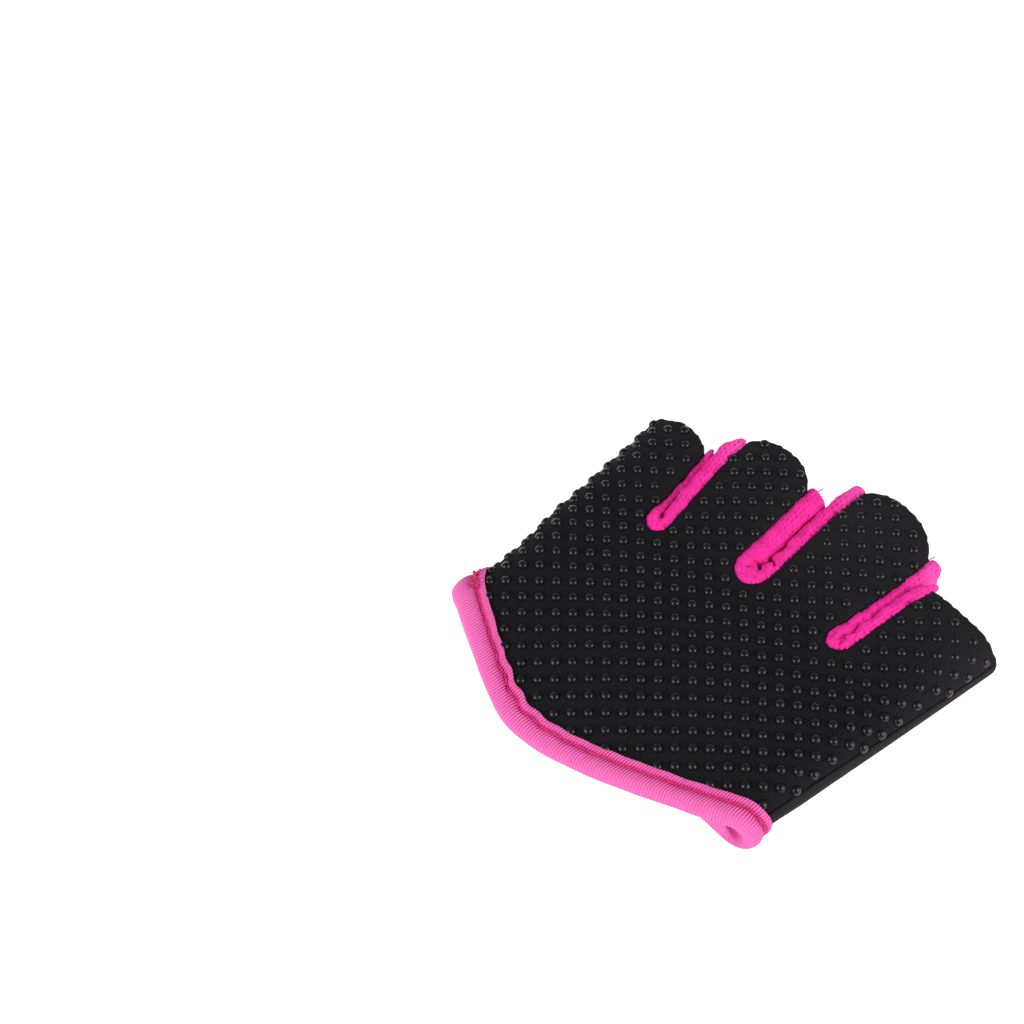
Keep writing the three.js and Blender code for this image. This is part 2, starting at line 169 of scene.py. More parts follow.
# Grip dots: their lattice over the palm's cloth, its bend by the squares of the shares of HALF_HAND, the
# dome, how low the domes are on the round side and by an edge, and how clear the dots keep of every border
DOTS = Sizes(origin=(5.9, -2.85), first=(2.995, 2.53), second=(2.755, -2.77), radius=1.22, height=0.98,
             sunk=0.2, uneven=0.03, least=0.92, most=1.08, seed=7)
LATTICE = Sizes(steps=40, across=85, along=60)
DOT_BEND = Sizes(across=(-0.6, 1.0, 2.8), along=(-0.4, 0.0, -2.4))
HALF_HAND = 50
DOT_RINGS = (1.0, 0.9, 0.68, 0.36)
DOT_SIDES = 12
DOT_LOW = Sizes(share=0.55, level=(0.5, 0.95), edge=(0.5, 2.6), slot=1)
DOT_CLEAR = Sizes(slot=0.85, end=1.5, seam=0.8, wrist=5.1, floor=2.0)
PAST_CORNER = Sizes(slot=1.3, flap=1.4)
HALF_FINGER = 16

# Ribbed tape round the wrist edge: ribs across it, higher where the stitches draw it in and calmer by the
# little finger; the sway of its lip; its swelling at the hand's two sides; and the lower roll that fills
# the mouth's index corner between two places
RIBS = Sizes(pitch=0.69, samples=6, height=0.045, drawn=0.065, least=0.25, lip=0.5, under=0.5, hold=1.1,
             fade=1.4, calm=0.35, calm_x=-45, full_x=-20)
LOW_CREST = Sizes(share=0.62, start=0.02, full=0.4)
SWAY = Sizes(pitch=6.6, out=0.33, least=0.06, x=-18, reach=11, drift=0.8, drift_reach=11, start=-1.2)
SWELLS = (Sizes(place=3.8, reach=0.25, roll=0.24, lip=0.25, shift=0.45),
          Sizes(place=1.35, reach=0.16, roll=0.0, lip=0.18, shift=0.0))
MOUTH = Sizes(start=1.47, full=1.66, fading=1.8, end=2.3, press=4.8, forward=1.3, inner=(-0.3, 0.7),
              nose=(2.1, 1.4))
TAPE_START = 1.9
TAPE_LINE = Sizes(out=-1.0, off=1.0, points=2001)
TAPE_POINTS = 36
PALM_PASSAGE = Sizes(index=0.12, little=0.1)
# Width of the painted shade along the tape's groove
GROOVE_WIDTH = 0.75

# Control points of the tape across the cloth's edge: "out" past the edge and "off" its outer face. They go
# round the roll from the inside of the hand to the lip; the channel that holds the cloth closes them.
ROLL = [(-3.6, -0.95), (-2.0, -1.15), (-0.4, -1.2), (1.1, -0.75)]
CREST = [(1.75, 0.7), (0.95, 1.25), (-0.2, 1.5), (-1.2, 1.35), (-2.1, 0.85), (-2.65, 0.35), (-3.15, 0.8),
         (-3.75, 1.0), (-4.35, 0.8), (-4.55, 0.4)]
NOSE_OUT = 2.1
CHANNEL_OUT = (-4.3, 0.3, 0.3, -3.4)
CHANNEL_CLEAR = 0.22

# A lockstitch in the tape's groove, with a frayed end on the little finger's side
STITCH = Sizes(pitch=3.1, length=2.8, radius=0.23, out=-2.65, low=0.46, high=0.74, points=9, sides=6)
FRAY = Sizes(count=40, places=(3.66, 3.97), off=(0.6, 1.5), swing=0.75, radius=0.2, seed=5)

# Two black thread ends by the middle finger's corners: start, bend and tip
BLACK_ENDS = [
    [(-7.6, 41.6, 13.2), (-7.0, 42.9, 13.6), (-7.1, 44.6, 13.0)],
    [(23.6, 46.9, 13.9), (23.8, 47.6, 14.4), (24.2, 48.2, 14.5)],
]
BLACK_RADIUS = 0.12
LOOSE = Sizes(points=12, sides=5)

# A thread's ends narrow to this share. Its ring is laid out from a direction that no thread runs along.
THREAD_TIP = 0.35
ASKEW = np.array([0.13, 0.21, 0.97])

# Faces of the cloths: pitches of their lines and loops in millimetres, scales of their noise and the
# strength of each. A hole of the mesh knit is a short slanting stroke, and each row is half a step on from
# the last.
# The twill's pale strengths give painted light: the palm's cloth grows lighter towards the finger ends
TWILL = Sizes(pitch=0.48, drift=0.5, drift_noise=0.9, grain_noise=3.5, contrast=2.3, pale_run=40, pale=-0.1)
KNIT = Sizes(across=0.55, along=0.45, grain_noise=2.5)
# The mesh's holes are only painted: their dark strokes are painted shade, the shade one would see through them
HOLES = Sizes(pitch=1.45, row=1.05, length=0.4, width=0.14, slant=0.35, core=0.6, rim=1.6, drift=1.2,
              drift_noise=0.8, faint=0.1, strength=0.8, depth=0.7)
# The mesh knit's crease strength is painted shade in the creases, and its pale strengths painted light at the
# legs' ends
MESH = Sizes(pitch=0.5, lines=0.25, grain_noise=2.6, grain=0.65, grain_from=0.3, fold=0.9, fleck_noise=1.3,
             fleck_slope=-4.0, fleck_from=2.05, fleck=0.7, pale_noise=0.5, pale=0.8, pale_least=0.3)
# Rib face: painted shade between the ribs and in the groove, painted highlights on the rib crests
RIB_FACE = Sizes(sharp=1.7, uneven_noise=0.35, uneven=0.8, even=0.6, drawn=0.9, least=0.08, groove=0.75,
                 pale=0.5, grain_noise=4.0, valley=1.5)

# Studio: two square soft boxes, a backdrop that glows low down beyond the glove and a floor that glows a
# little
SOFT_BOX = Sizes(sideways=0.82, ahead=-0.36, up=0.52, size=0.75, power=12.5)
BACKDROP = Sizes(glow=3.6, dim=0.22, top=0.26, soft=0.3, turn=0.9, start=0.35)
FLOOR = Sizes(half=6.0, white=(0.82, 0.82, 0.82), rough=0.9, glow=0.7)

# The camera stands to the wrist's side of the index edge and looks down over the glove
CAMERA = Sizes(x=139.4, y=-194.1, height=394.67, degrees_round=47.0, degrees_down=56.36, focal_pixels=2000)
PICTURE_PIXELS = 1024
SENSOR = 36.0


def smoothstep(x, low, high):
    """Rises smoothly from 0 at low to 1 at high."""
    s = np.clip((x - low) / (high - low), 0, 1)
    return s * s * (3 - 2 * s)


def unit(vectors):
    """The same directions, one long."""
    return vectors / np.linalg.norm(vectors, axis=-1, keepdims=True)


def blend(low, high, share):
    """Passes from low to high as the share grows from 0 to 1."""
    return low + (high - low) * share


def ripple(waves, *coordinates):
    """Sum of crossing waves over the coordinates."""
    total = 0
    for height, *turns, start in waves:
        total = total + height * np.sin(sum(turn * value for turn, value in zip(turns, coordinates)) + start)
    return total


def palm_height(y):
    """Height of the palm's face: a parabola that rises to the fingers and droops to the cuff."""
    rise = np.where(y > 0, FINGER_RISE, -CUFF_DROOP)
    return PALM_HEIGHT + rise * (y / RISE_LENGTH) ** 2


def section(y):
    """Radius of the hand's round edges at y, and the x where its flat faces end. The little finger's side has
    a shallow waist and both sides flare out to the cuff."""
    radius = palm_height(y) / 2
    waist = WAIST.depth * np.exp(-((y - WAIST.y) / WAIST.reach) ** 2)
    flare = smoothstep(-y, CUFF_FLARE.start, CUFF_FLARE.end)
    little = LITTLE_SIDE.x + LITTLE_SIDE.slope * y + waist - CUFF_FLARE.little * flare + radius
    index = INDEX_SIDE.x + INDEX_SIDE.slope * y + CUFF_FLARE.index * flare - radius
    return radius, little, index


def hand_point(place, y):
    """Point of the hand's outer face: two flat stretches joined by half circles; the palm has a low crown."""
    place, y = np.broadcast_arrays(np.asarray(place, float), np.asarray(y, float))
    radius, little, index = section(y)
    part = np.mod(place, FULL_ROUND)
    quarter = np.floor(part).astype(int)
    along = part - quarter
    across = radius * np.sin(np.pi * along)
    up = radius * np.cos(np.pi * along)
    crown = PALM_CROWN * (4 * along * (1 - along)) ** 2
    palm_x, back_x = blend(little, index, along), blend(index, little, along)
    x = np.choose(quarter, [palm_x, index + across, back_x, little - across])
    z = np.choose(quarter, [2 * radius + crown, radius + up, 0 * radius, radius - up])
    return np.stack([x, y, z], -1)


def hand_normal(place, y):
    """Direction straight out of the hand's face, from small steps round it and along it."""
    around = hand_point(place + NUDGE, y) - hand_point(place - NUDGE, y)
    along = hand_point(place, y + NUDGE) - hand_point(place, y - NUDGE)
    return unit(np.cross(around, along))


def palm_place(x, y):
    """Place of a point of the palm's flat face."""
    _, little, index = section(y)
    return PALM + (x - little) / (index - little)


def back_place(x, y):
    """Place of the back's point below or above the same x."""
    _, little, index = section(y)
    return BACK + (index - x) / (index - little)


def cloth_across(place, y):
    """Millimetres round the hand over the cloth, equal to x on the palm's flat face."""
    radius, little, index = section(y)
    flat, edge, steps = index - little, np.pi * radius, place - PALM
    stretches = [
        little - edge + (steps + 1) * flat,
        little + steps * edge,
        little + steps * flat,
        index + (steps - 1) * edge,
    ]
    last = index + edge + (steps - 2) * flat
    return np.select([steps < -1, steps < 0, steps < 1, steps < 2], stretches, last)


def place_across(across, y):
    """The palm's place at so many millimetres round the hand, the reverse of cloth_across."""
    radius, little, index = section(y)
    edge = np.pi * radius
    flat = PALM + (across - little) / (index - little)
    return np.where(across < little, PALM + (across - little) / edge,
                    np.where(across > index, INDEX_EDGE + (across - index) / edge, flat))


def tongue_edge(x):
    """y of the palm's wrist edge: two slopes that meet in a soft curve at the tongue's tip."""
    little, index = (side.slope * (np.hypot(x - TONGUE.x, side.softness) - side.softness)
                     for side in (TONGUE.little, TONGUE.index))
    return TONGUE.y + np.where(x < TONGUE.x, little, index)


def back_edge(x):
    """y of the back's wrist edge, a shallow parabola."""
    return BACK_EDGE.y + BACK_EDGE.rise * ((x - BACK_EDGE.x) / BACK_EDGE.half_width) ** 2


def passage(start, start_slope, end, end_slope, t):
    """Cubic from one value to another that leaves and arrives with the given slopes."""
    s = 1 - t
    ends = s * s * (1 + 2 * t) * start + t * t * (1 + 2 * s) * end
    return ends + s * s * t * start_slope - t * t * s * end_slope


def wrist_edge(place):
    """y of the wrist edge at a place; each round side passes from one curve to the other."""
    part = np.mod(np.asarray(place, float), FULL_ROUND)
    quarter = np.floor(part).astype(int)
    along = part - quarter
    little, index = WRIST_FLAT.little, WRIST_FLAT.index
    length = np.pi * palm_height(BACK_EDGE.y) / 2

    def steep(edge, x):
        return length * (edge(x + 0.5) - edge(x - 0.5))

    index_side = passage(tongue_edge(index), steep(tongue_edge, index),
                         back_edge(index), -steep(back_edge, index), along)
    little_side = passage(back_edge(little), -steep(back_edge, little),
                          tongue_edge(little), steep(tongue_edge, little), along)
    palm_side = tongue_edge(blend(little, index, along))
    back_side = back_edge(blend(index, little, along))
    return np.choose(quarter, [palm_side, index_side, back_side, little_side])


def lift_back(points, from_edge):
    """Lifts the lower points by the wrist edge off the floor, which leaves the binding room below them."""
    low = 1 - np.clip(points[..., 2] / palm_height(points[..., 1]), 0, 1)
    points[..., 2] += BACK_LIFT.height * low * (1 - smoothstep(from_edge, BACK_LIFT.start, BACK_LIFT.end))
    return points


def slot_side(slot, width, side, share):
    """x and y along a slot's side when it is open by width: a quarter round at the crotch, then a line that
    is pinched in a little and turned out at its index end where the slot has the palm's full width."""
    trim = (slot.width - width) / 2
    crotch_x, crotch_y = slot.crotch
    end_x, end_y = slot.left if side < 0 else slot.right
    opened = np.sqrt(1 - (1 - np.clip(share / slot.round, 0, 1)) ** 2)
    start_x = crotch_x + side * width / 2
    x = blend(start_x, end_x - side * trim, share) - side * width / 2 * (1 - opened)
    if width == slot.width:
        pinch = slot.pinch[0] if side < 0 else slot.pinch[1]
        x = x - side * pinch * 4 * share * (1 - share)
        if side > 0:
            x = x + HOOK.out * smoothstep(share, HOOK.start, HOOK.end)
    return x, blend(crotch_y + trim, end_y, share)


def index_seam(y):
    """Place of the seam on the index side."""
    return INDEX_EDGE + (90 - INDEX_SEAM.degrees + INDEX_SEAM.fall * y) / 180


def finger_corners(number):
    """The two corners of a finger's end."""
    last = len(SLOTS)
    left = LITTLE_CORNER if number == 0 else SLOTS[number - 1].right
    right = INDEX_CORNER if number == last else SLOTS[number].left
    return left, right


def finger_end(number, x):
    """y of a finger's end: a low full arch between its corners, with an overlocked edge's small waves."""
    left, right = finger_corners(number)
    share = np.clip((x - left[0]) / (right[0] - left[0]), 0, 1)
    arch = 1 - np.abs(2 * share - 1) ** END_FULLNESS
    return blend(left[1], right[1], share) + FINGERS[number].bow * arch + ripple(END_WAVES, x, number)


def flap_rise(number, share, to_slot):
    """Height that a finger's flap adds to the hand's face; beside a slot the flap sinks."""
    share = np.clip(share, 0, 1)
    return share * (FINGERS[number].lift - FLAP_DROP.depth * np.exp(-to_slot / FLAP_DROP.reach))


def quarter_round(distance, radius):
    """How far a face falls within a rounded edge's radius of the edge: a quarter circle."""
    inside = np.clip(radius - distance, 0, radius)
    return radius - np.sqrt(radius * radius - inside * inside)


def distance_to(path, points):
    """Distance in plan from every point to the nearest of a path's points."""
    best = np.full(len(points), np.inf)
    for piece in np.array_split(path, max(1, len(path) // POINTS_AT_ONCE)):
        gaps = np.hypot(points[:, None, 0] - piece[None, :, 0], points[:, None, 1] - piece[None, :, 1])
        best = np.minimum(best, gaps.min(1))
    return best


def arc_lengths(line):
    """Length along a line of points up to each of them."""
    return np.concatenate([[0], np.cumsum(np.linalg.norm(np.diff(line, axis=0), axis=1))])


def girths(points):
    """Length across a grid of points up to each of them."""
    return np.cumsum(np.linalg.norm(np.diff(points, axis=1, prepend=points[:, :1]), axis=-1), axis=1)


def round_shares(count):
    """Shares of a slot's length that step evenly round the quarter at its crotch."""
    return ROUND_ROWS * (1 - np.cos(np.linspace(0, np.pi / 2, count)))


def slot_outline(slot, width):
    """Closely spaced points of a slot's cut edge, down one side and up the other."""
    line = np.linspace(ROUND_ROWS, OUTLINE.end, OUTLINE.steps)
    share = np.concatenate([round_shares(OUTLINE.round_steps), line])
    sides = [np.stack(slot_side(slot, width, side, share), -1) for side in (-1, 1)]
    return np.concatenate([sides[0][::-1], sides[1]])


def finger_shares(length):
    """Rows along a finger: steps round the slot's end, then even ones, then finer ones to the edge."""
    bend = round_shares(BEND_ROWS + 1)[1:]
    fine = 1 - EDGE_STEPS[::-1] / length
    middle = np.linspace(ROUND_ROWS, fine[0], int((fine[0] - ROUND_ROWS) * length / STEP) + 1)[1:-1]
    return np.concatenate([bend, middle, fine])


def spread(width, open_start, open_end):
    """Columns across a strip as shares of its width, finer by an edge that is open."""
    start = EDGE_STEPS if open_start else EDGE_STEPS[:1]
    end = width - (EDGE_STEPS[::-1] if open_end else EDGE_STEPS[:1])
    inner = np.linspace(start[-1], end[0], max(2, int((end[0] - start[-1]) / STEP) + 1))[1:-1]
    return np.concatenate([start, inner, end]) / width


def slot_lines(slit, place_of):
    """The borders of the strips along both sides of every slot; without a slit it has its full width."""
    def line(slot, side):
        width = slit or slot.width

        def place_at(share, y):
            x, side_y = slot_side(slot, width, side, share)
            return place_of(x, side_y)
        return Sizes(crotch_y=slot.crotch[1] + (slot.width - width) / 2, place_at=place_at, open=True)
    return [(line(slot, -1), line(slot, 1)) for slot in SLOTS]


def plain_line(slot, place_at_y, is_open=False):
    """A strip's border at a place given for each y, on the hand beside a slot."""
    return Sizes(crotch_y=slot.crotch[1], place_at=lambda share, y: place_at_y(y), open=is_open)


def strip(finger, start, end):
    """Grid of places and y values between two borders, column by column from wrist to finger's end."""
    left, _ = finger_corners(finger)
    middle_y = np.array(start.crotch_y + FLAP_MIDDLE)
    first, last = (cloth_across(line.place_at(np.array(0.5), middle_y), middle_y) for line in (start, end))
    across = spread(float(abs(last - first)), start.open, end.open)[:, None]
    shares = np.concatenate([np.zeros(HAND_ROWS + 1), finger_shares(FINGER_LENGTH)])[None, :]
    crotch_y = blend(start.crotch_y, end.crotch_y, across)

    def place_at(share, y):
        return blend(start.place_at(share, y), end.place_at(share, y), across)

    start_y = wrist_edge(place_at(np.zeros_like(crotch_y), crotch_y))
    corner_y = np.full_like(crotch_y, left[1])
    end_x = hand_point(place_at(np.ones_like(crotch_y), corner_y), left[1])[..., 0]
    end_y = finger_end(finger, end_x)
    climb = np.linspace(0, 1, HAND_ROWS + 1)
    hand_y = blend(start_y, crotch_y, climb[None, :])
    finger_y = blend(crotch_y, end_y, shares[:, HAND_ROWS + 1:])
    y = np.concatenate([hand_y, finger_y], 1)
    share = np.broadcast_to(shares, y.shape)
    return Sizes(finger=finger, place=place_at(share, y), y=y, share=share,
                 from_edge=y - start_y, to_end=end_y - y)


def face_grids(strips, outlines, rounding, seams, wall, waves):
    """Outer and inner points of each strip: the hand's face set in by a quarter round at every border."""
    grids = []
    for s in strips:
        points, normals = hand_point(s.place, s.y), hand_normal(s.place, s.y)
        flat = points.reshape(-1, 3)
        to_slot = np.minimum.reduce([distance_to(outline, flat) for outline in outlines]).reshape(s.y.shape)
        across = cloth_across(s.place, s.y)
        to_seam = np.minimum.reduce([np.abs(across - seam(s.y)) for seam in seams])
        level = np.clip(points[..., 2] / palm_height(s.y), 0, 1)
        points[..., 2] += level * flap_rise(s.finger, s.share, to_slot)
        points = lift_back(points, s.from_edge)
        fall = np.maximum.reduce([quarter_round(d, rounding) for d in (to_slot, s.to_end, s.from_edge)])
        fall = np.maximum(fall, quarter_round(to_seam, SEAM_ROUNDING))
        inside = smoothstep(np.minimum.reduce([to_slot, s.to_end, to_seam]), 0, CALM.border)
        inside = inside * smoothstep(s.from_edge, CALM.wrist_start, CALM.wrist_end)
        puff = waves * ripple(CLOTH_WAVES, across, s.y) * inside * level
        outer = points + normals * (puff - fall)[..., None]
        under = points - normals * np.maximum(wall - INNER_FALL * fall, fall + LEAST_WALL)[..., None]
        grids.append(Sizes(outer=outer, inner=under, uv=np.stack([across, s.y], -1)))
    return grids


def weld(grids):
    """Joins grids of outer and inner points into one closed shell, with rim faces round every open border."""
    quads, count = [], 0
    for g in grids:
        m, n = g.outer.shape[:2]
        index = count + np.arange(m * n).reshape(m, n)
        corners = [index[:-1, :-1], index[1:, :-1], index[1:, 1:], index[:-1, 1:]]
        quads.append(np.stack(corners, -1).reshape(-1, 4))
        count += m * n
    quads = np.concatenate(quads)
    outer, inner, uv = (np.concatenate([getattr(g, part).reshape(-1, size) for g in grids])
                        for part, size in (("outer", 3), ("inner", 3), ("uv", 2)))
    rounded_off = np.round(outer * WELD_PARTS).astype(np.int64)
    _, first, same = np.unique(rounded_off, axis=0, return_index=True, return_inverse=True)
    outer, inner, uv = outer[first], inner[first], uv[first]
    quads = same.reshape(-1)[quads]
    total = len(outer)
    edges = np.stack([quads, np.roll(quads, -1, 1)], -1).reshape(-1, 2)
    edges = edges[edges[:, 0] != edges[:, 1]]
    there = edges[:, 0] * total + edges[:, 1]
    back = edges[:, 1] * total + edges[:, 0]
    p, q = edges[~np.isin(there, back)].T
    rim = np.stack([q, p, p + total, q + total], -1)
    faces = np.concatenate([quads, quads[:, ::-1] + total, rim])
    return np.concatenate([outer, inner]), faces, np.concatenate([uv, uv])


def add_mesh(name, points, faces, material, uv=None, masks=None):
    """Mesh object from points in millimetres in the cutting frame. A face that repeats a corner is
    pinched: it becomes a triangle, or is left out where fewer than three corners stay."""
    repeats = faces == np.roll(faces, -1, 1)
    pinched = repeats.any(1)
    plain = faces[~pinched]
    small = [face[~same] for face, same in zip(faces[pinched], repeats[pinched]) if (~same).sum() > 2]
    corners = np.concatenate([plain.reshape(-1)] + small)
    sizes = np.concatenate([np.full(len(plain), faces.shape[1]), [len(face) for face in small]]).astype(int)
    mesh = bpy.data.meshes.new(name)
    mesh.vertices.add(len(points))
    mesh.vertices.foreach_set("co", ((points - MIDDLE) * MM).astype(np.float32).ravel())
    mesh.loops.add(len(corners))
    mesh.loops.foreach_set("vertex_index", corners.astype(np.int32))
    mesh.polygons.add(len(sizes))
    mesh.polygons.foreach_set("loop_start", np.concatenate([[0], np.cumsum(sizes)[:-1]]).astype(np.int32))
    mesh.update(calc_edges=True)
    if uv is not None:
        layer = mesh.uv_layers.new(name="cloth")
        layer.data.foreach_set("uv", uv[corners].astype(np.float32).ravel())
    for mask, values in (masks or {}).items():
        mesh.attributes.new(mask, "FLOAT", "POINT").data.foreach_set("value", values.astype(np.float32))
    mesh.polygons.foreach_set("use_smooth", np.ones(len(sizes), bool))
    mesh.validate()
    mesh.materials.append(material)
    piece = bpy.data.objects.new(name, mesh)
    bpy.context.scene.collection.objects.link(piece)
    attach(piece, "root")
    return piece


def cloth_panel(name, borders, seams, slit, rounding, wall, waves, material):
    """A panel of cloth. Each strip has a finger and two borders, and waves is the share of the soft waves."""
    strips = [strip(*border) for border in borders]
    outlines = [slot_outline(slot, slit or slot.width) for slot in SLOTS]
    seams = [lambda y, seam=seam: cloth_across(seam(y), y) for seam in seams]
    points, faces, uv = weld(face_grids(strips, outlines, rounding, seams, wall, waves))
    return add_mesh(name, points, faces, material, uv)


def palm_cloth(material):
    """The palm: from its seam under the little finger, round that side and over to the index seam."""
    first, _, third = SLOTS
    (left_1, right_1), (left_2, right_2), (left_3, right_3) = slot_lines(None, palm_place)
    under, little, flat = (plain_line(first, lambda y, place=place: np.full_like(y, float(place)))
                           for place in (UNDER_SEAM, LITTLE_EDGE, PALM))
    edge = plain_line(third, lambda y: np.full_like(y, float(INDEX_EDGE)))
    seam = plain_line(third, index_seam, is_open=True)
    borders = [(0, under, little), (0, little, flat), (0, flat, left_1), (1, right_1, left_2),
               (2, right_2, left_3), (3, right_3, edge), (3, edge, seam)]
    piece = cloth_panel("palm_cloth", borders, [index_seam, lambda y: UNDER_SEAM],
                        None, PALM_ROUNDING, PALM_WALL, 1.0, material)
    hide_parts("palm_panel")
    return piece


def back_cloth(material):
    """The back: from the index seam round that edge and across under the hand to the other seam."""
    first, _, third = SLOTS
    (left_1, right_1), (left_2, right_2), (left_3, right_3) = slot_lines(BACK_SLIT, back_place)

    def after_seam(y):
        return index_seam(y) + SEAM_GAP / (np.pi * section(y)[0])

    def before_seam(y):
        _, little, index = section(y)
        return FULL_ROUND + UNDER_SEAM - SEAM_GAP / (index - little)

    start, end = plain_line(third, after_seam, is_open=True), plain_line(first, before_seam, is_open=True)
    edge = plain_line(third, lambda y: np.full_like(y, float(BACK)))
    borders = [(3, start, edge), (3, edge, right_3), (2, left_3, right_2), (1, left_2, right_1),
               (0, left_1, end)]
    piece = cloth_panel("back_cloth", borders, [after_seam, before_seam],
                        BACK_SLIT, BACK_ROUNDING, BACK_WALL, 0.0, material)
    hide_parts("back_panel")
    return piece


def slot_at(slot, y):
    """Share of a slot's length at y, and the x of its two sides there."""
    share = np.clip((y - slot.crotch[1]) / (slot.left[1] - slot.crotch[1]), 0, PAST_CORNER.slot)
    left, right = (slot_side(slot, slot.width, side, share)[0] for side in (-1, 1))
    return share, left, right


def dot_places():
    """The lattice of dots over the cloth, bent and moved with each finger's flap, and the finger of each."""
    steps = np.arange(-LATTICE.steps, LATTICE.steps + 1)
    i, j = np.meshgrid(steps, steps, indexing="ij")
    across, y = ((DOTS.origin[k] + i * DOTS.first[k] + j * DOTS.second[k]).ravel() for k in (0, 1))
    near = (np.abs(across) < LATTICE.across) & (np.abs(y) < LATTICE.along)
    across, y = across[near], y[near]
    finger = np.zeros(len(y), int)
    for slot in SLOTS:
        _, left, right = slot_at(slot, y)
        finger += across > (left + right) / 2
    base = np.array([f.base for f in FINGERS])[finger]
    climb = np.clip((y - base) / FLAP_RUN, 0, PAST_CORNER.flap)
    u, v = across / HALF_HAND, y / HALF_HAND
    squares = np.stack([u * u, u * v, v * v])
    drift = np.array([f.drift for f in FINGERS])[finger] * climb[:, None]
    across = across + DOT_BEND.across @ squares + drift[:, 0]
    y = y + DOT_BEND.along @ squares + drift[:, 1]
    return across, y, finger


def dot_feet():
    """Foot and face normal of every printed dot, and the share of its full height."""
    across, y, finger = dot_places()
    place = place_across(across, y)
    points, normals = hand_point(place, y), hand_normal(place, y)
    to_slot = np.minimum.reduce([distance_to(slot_outline(s, s.width), points) for s in SLOTS])
    in_slot = np.zeros(len(y), bool)
    share = np.zeros(len(y))
    for slot in SLOTS:
        run, left, right = slot_at(slot, y)
        in_slot |= (y > slot.crotch[1]) & (across > left) & (across < right)
        share = np.maximum(share, run * (np.abs(across - (left + right) / 2) < HALF_FINGER))
    to_end = np.choose(finger, [finger_end(k, points[:, 0]) for k in range(len(FINGERS))]) - y
    to_seam = cloth_across(index_seam(y), y) - across
    from_edge = y - wrist_edge(place)
    keep = (~in_slot & (to_slot > DOT_CLEAR.slot) & (to_end > DOT_CLEAR.end) & (to_seam > DOT_CLEAR.seam)
            & (points[:, 2] > DOT_CLEAR.floor) & (from_edge > DOT_CLEAR.wrist))
    level = np.clip(points[:, 2] / palm_height(y), 0, 1)
    points[:, 2] += level * np.choose(finger, [flap_rise(k, share, to_slot) for k in range(len(FINGERS))])
    points = lift_back(points, from_edge)
    fall = np.maximum.reduce([quarter_round(to_slot, PALM_ROUNDING), quarter_round(to_end, PALM_ROUNDING),
                              quarter_round(to_seam, SEAM_ROUNDING)])
    points = points + normals * (ripple(CLOTH_WAVES, across, y) * level - fall)[:, None]
    from_border = np.minimum(to_end, to_slot + DOT_LOW.slot)
    low = blend(DOT_LOW.share, 1, smoothstep(level, *DOT_LOW.level) * smoothstep(from_border, *DOT_LOW.edge))
    return points[keep], normals[keep], low[keep]


def grip_dots(material):
    """Domes on a slanting square lattice over the palm's cloth: rings of a half ellipse on a short skirt."""
    points, normals, low = dot_feet()
    side = unit(np.cross(normals, [0.0, 1.0, 0.0]))
    other = np.cross(normals, side)
    sizes = np.random.default_rng(DOTS.seed).normal(1, DOTS.uneven, (len(points), 1, 1, 1))
    sizes = sizes.clip(DOTS.least, DOTS.most)
    shares = np.array(DOT_RINGS)
    radius = DOTS.radius * np.concatenate([[1.0], shares])
    height = np.concatenate([[-DOTS.sunk], DOTS.height * np.sqrt(1 - shares ** 2)])
    turn = np.linspace(0, 2 * np.pi, DOT_SIDES, endpoint=False)
    ring_x, ring_y = radius[:, None] * np.cos(turn), radius[:, None] * np.sin(turn)
    local = np.stack([ring_x, ring_y, height[:, None] + 0 * turn], -1)
    local = np.broadcast_to(local, (len(points), *local.shape)) * sizes
    local[..., 2] *= low[:, None, None]
    domes = points[:, None, None] + local @ np.stack([side, other, normals], 1)[:, None]
    tips = points + normals * DOTS.height * low[:, None] * sizes[:, 0, 0]
    vertices = np.concatenate([domes.reshape(len(points), -1, 3), tips[:, None]], 1).reshape(-1, 3)
    ring = np.arange(DOT_SIDES)
    after = np.roll(ring, -1)
    bands = [np.stack([ring, after, after + DOT_SIDES, ring + DOT_SIDES], -1) + k * DOT_SIDES
             for k in range(len(shares))]
    last, tip = len(shares) * DOT_SIDES, len(radius) * DOT_SIDES
    cap = np.stack([ring + last, after + last, 0 * ring + tip, 0 * ring + tip], -1)
    foot = np.stack([after, ring, 0 * ring, 0 * ring], -1)[1:-1]
    shape = np.concatenate(bands + [cap, foot])
    faces = (shape[None] + (tip + 1) * np.arange(len(points))[:, None, None]).reshape(-1, 4)
    piece = add_mesh("grip_dots", vertices, faces, material)
    return piece


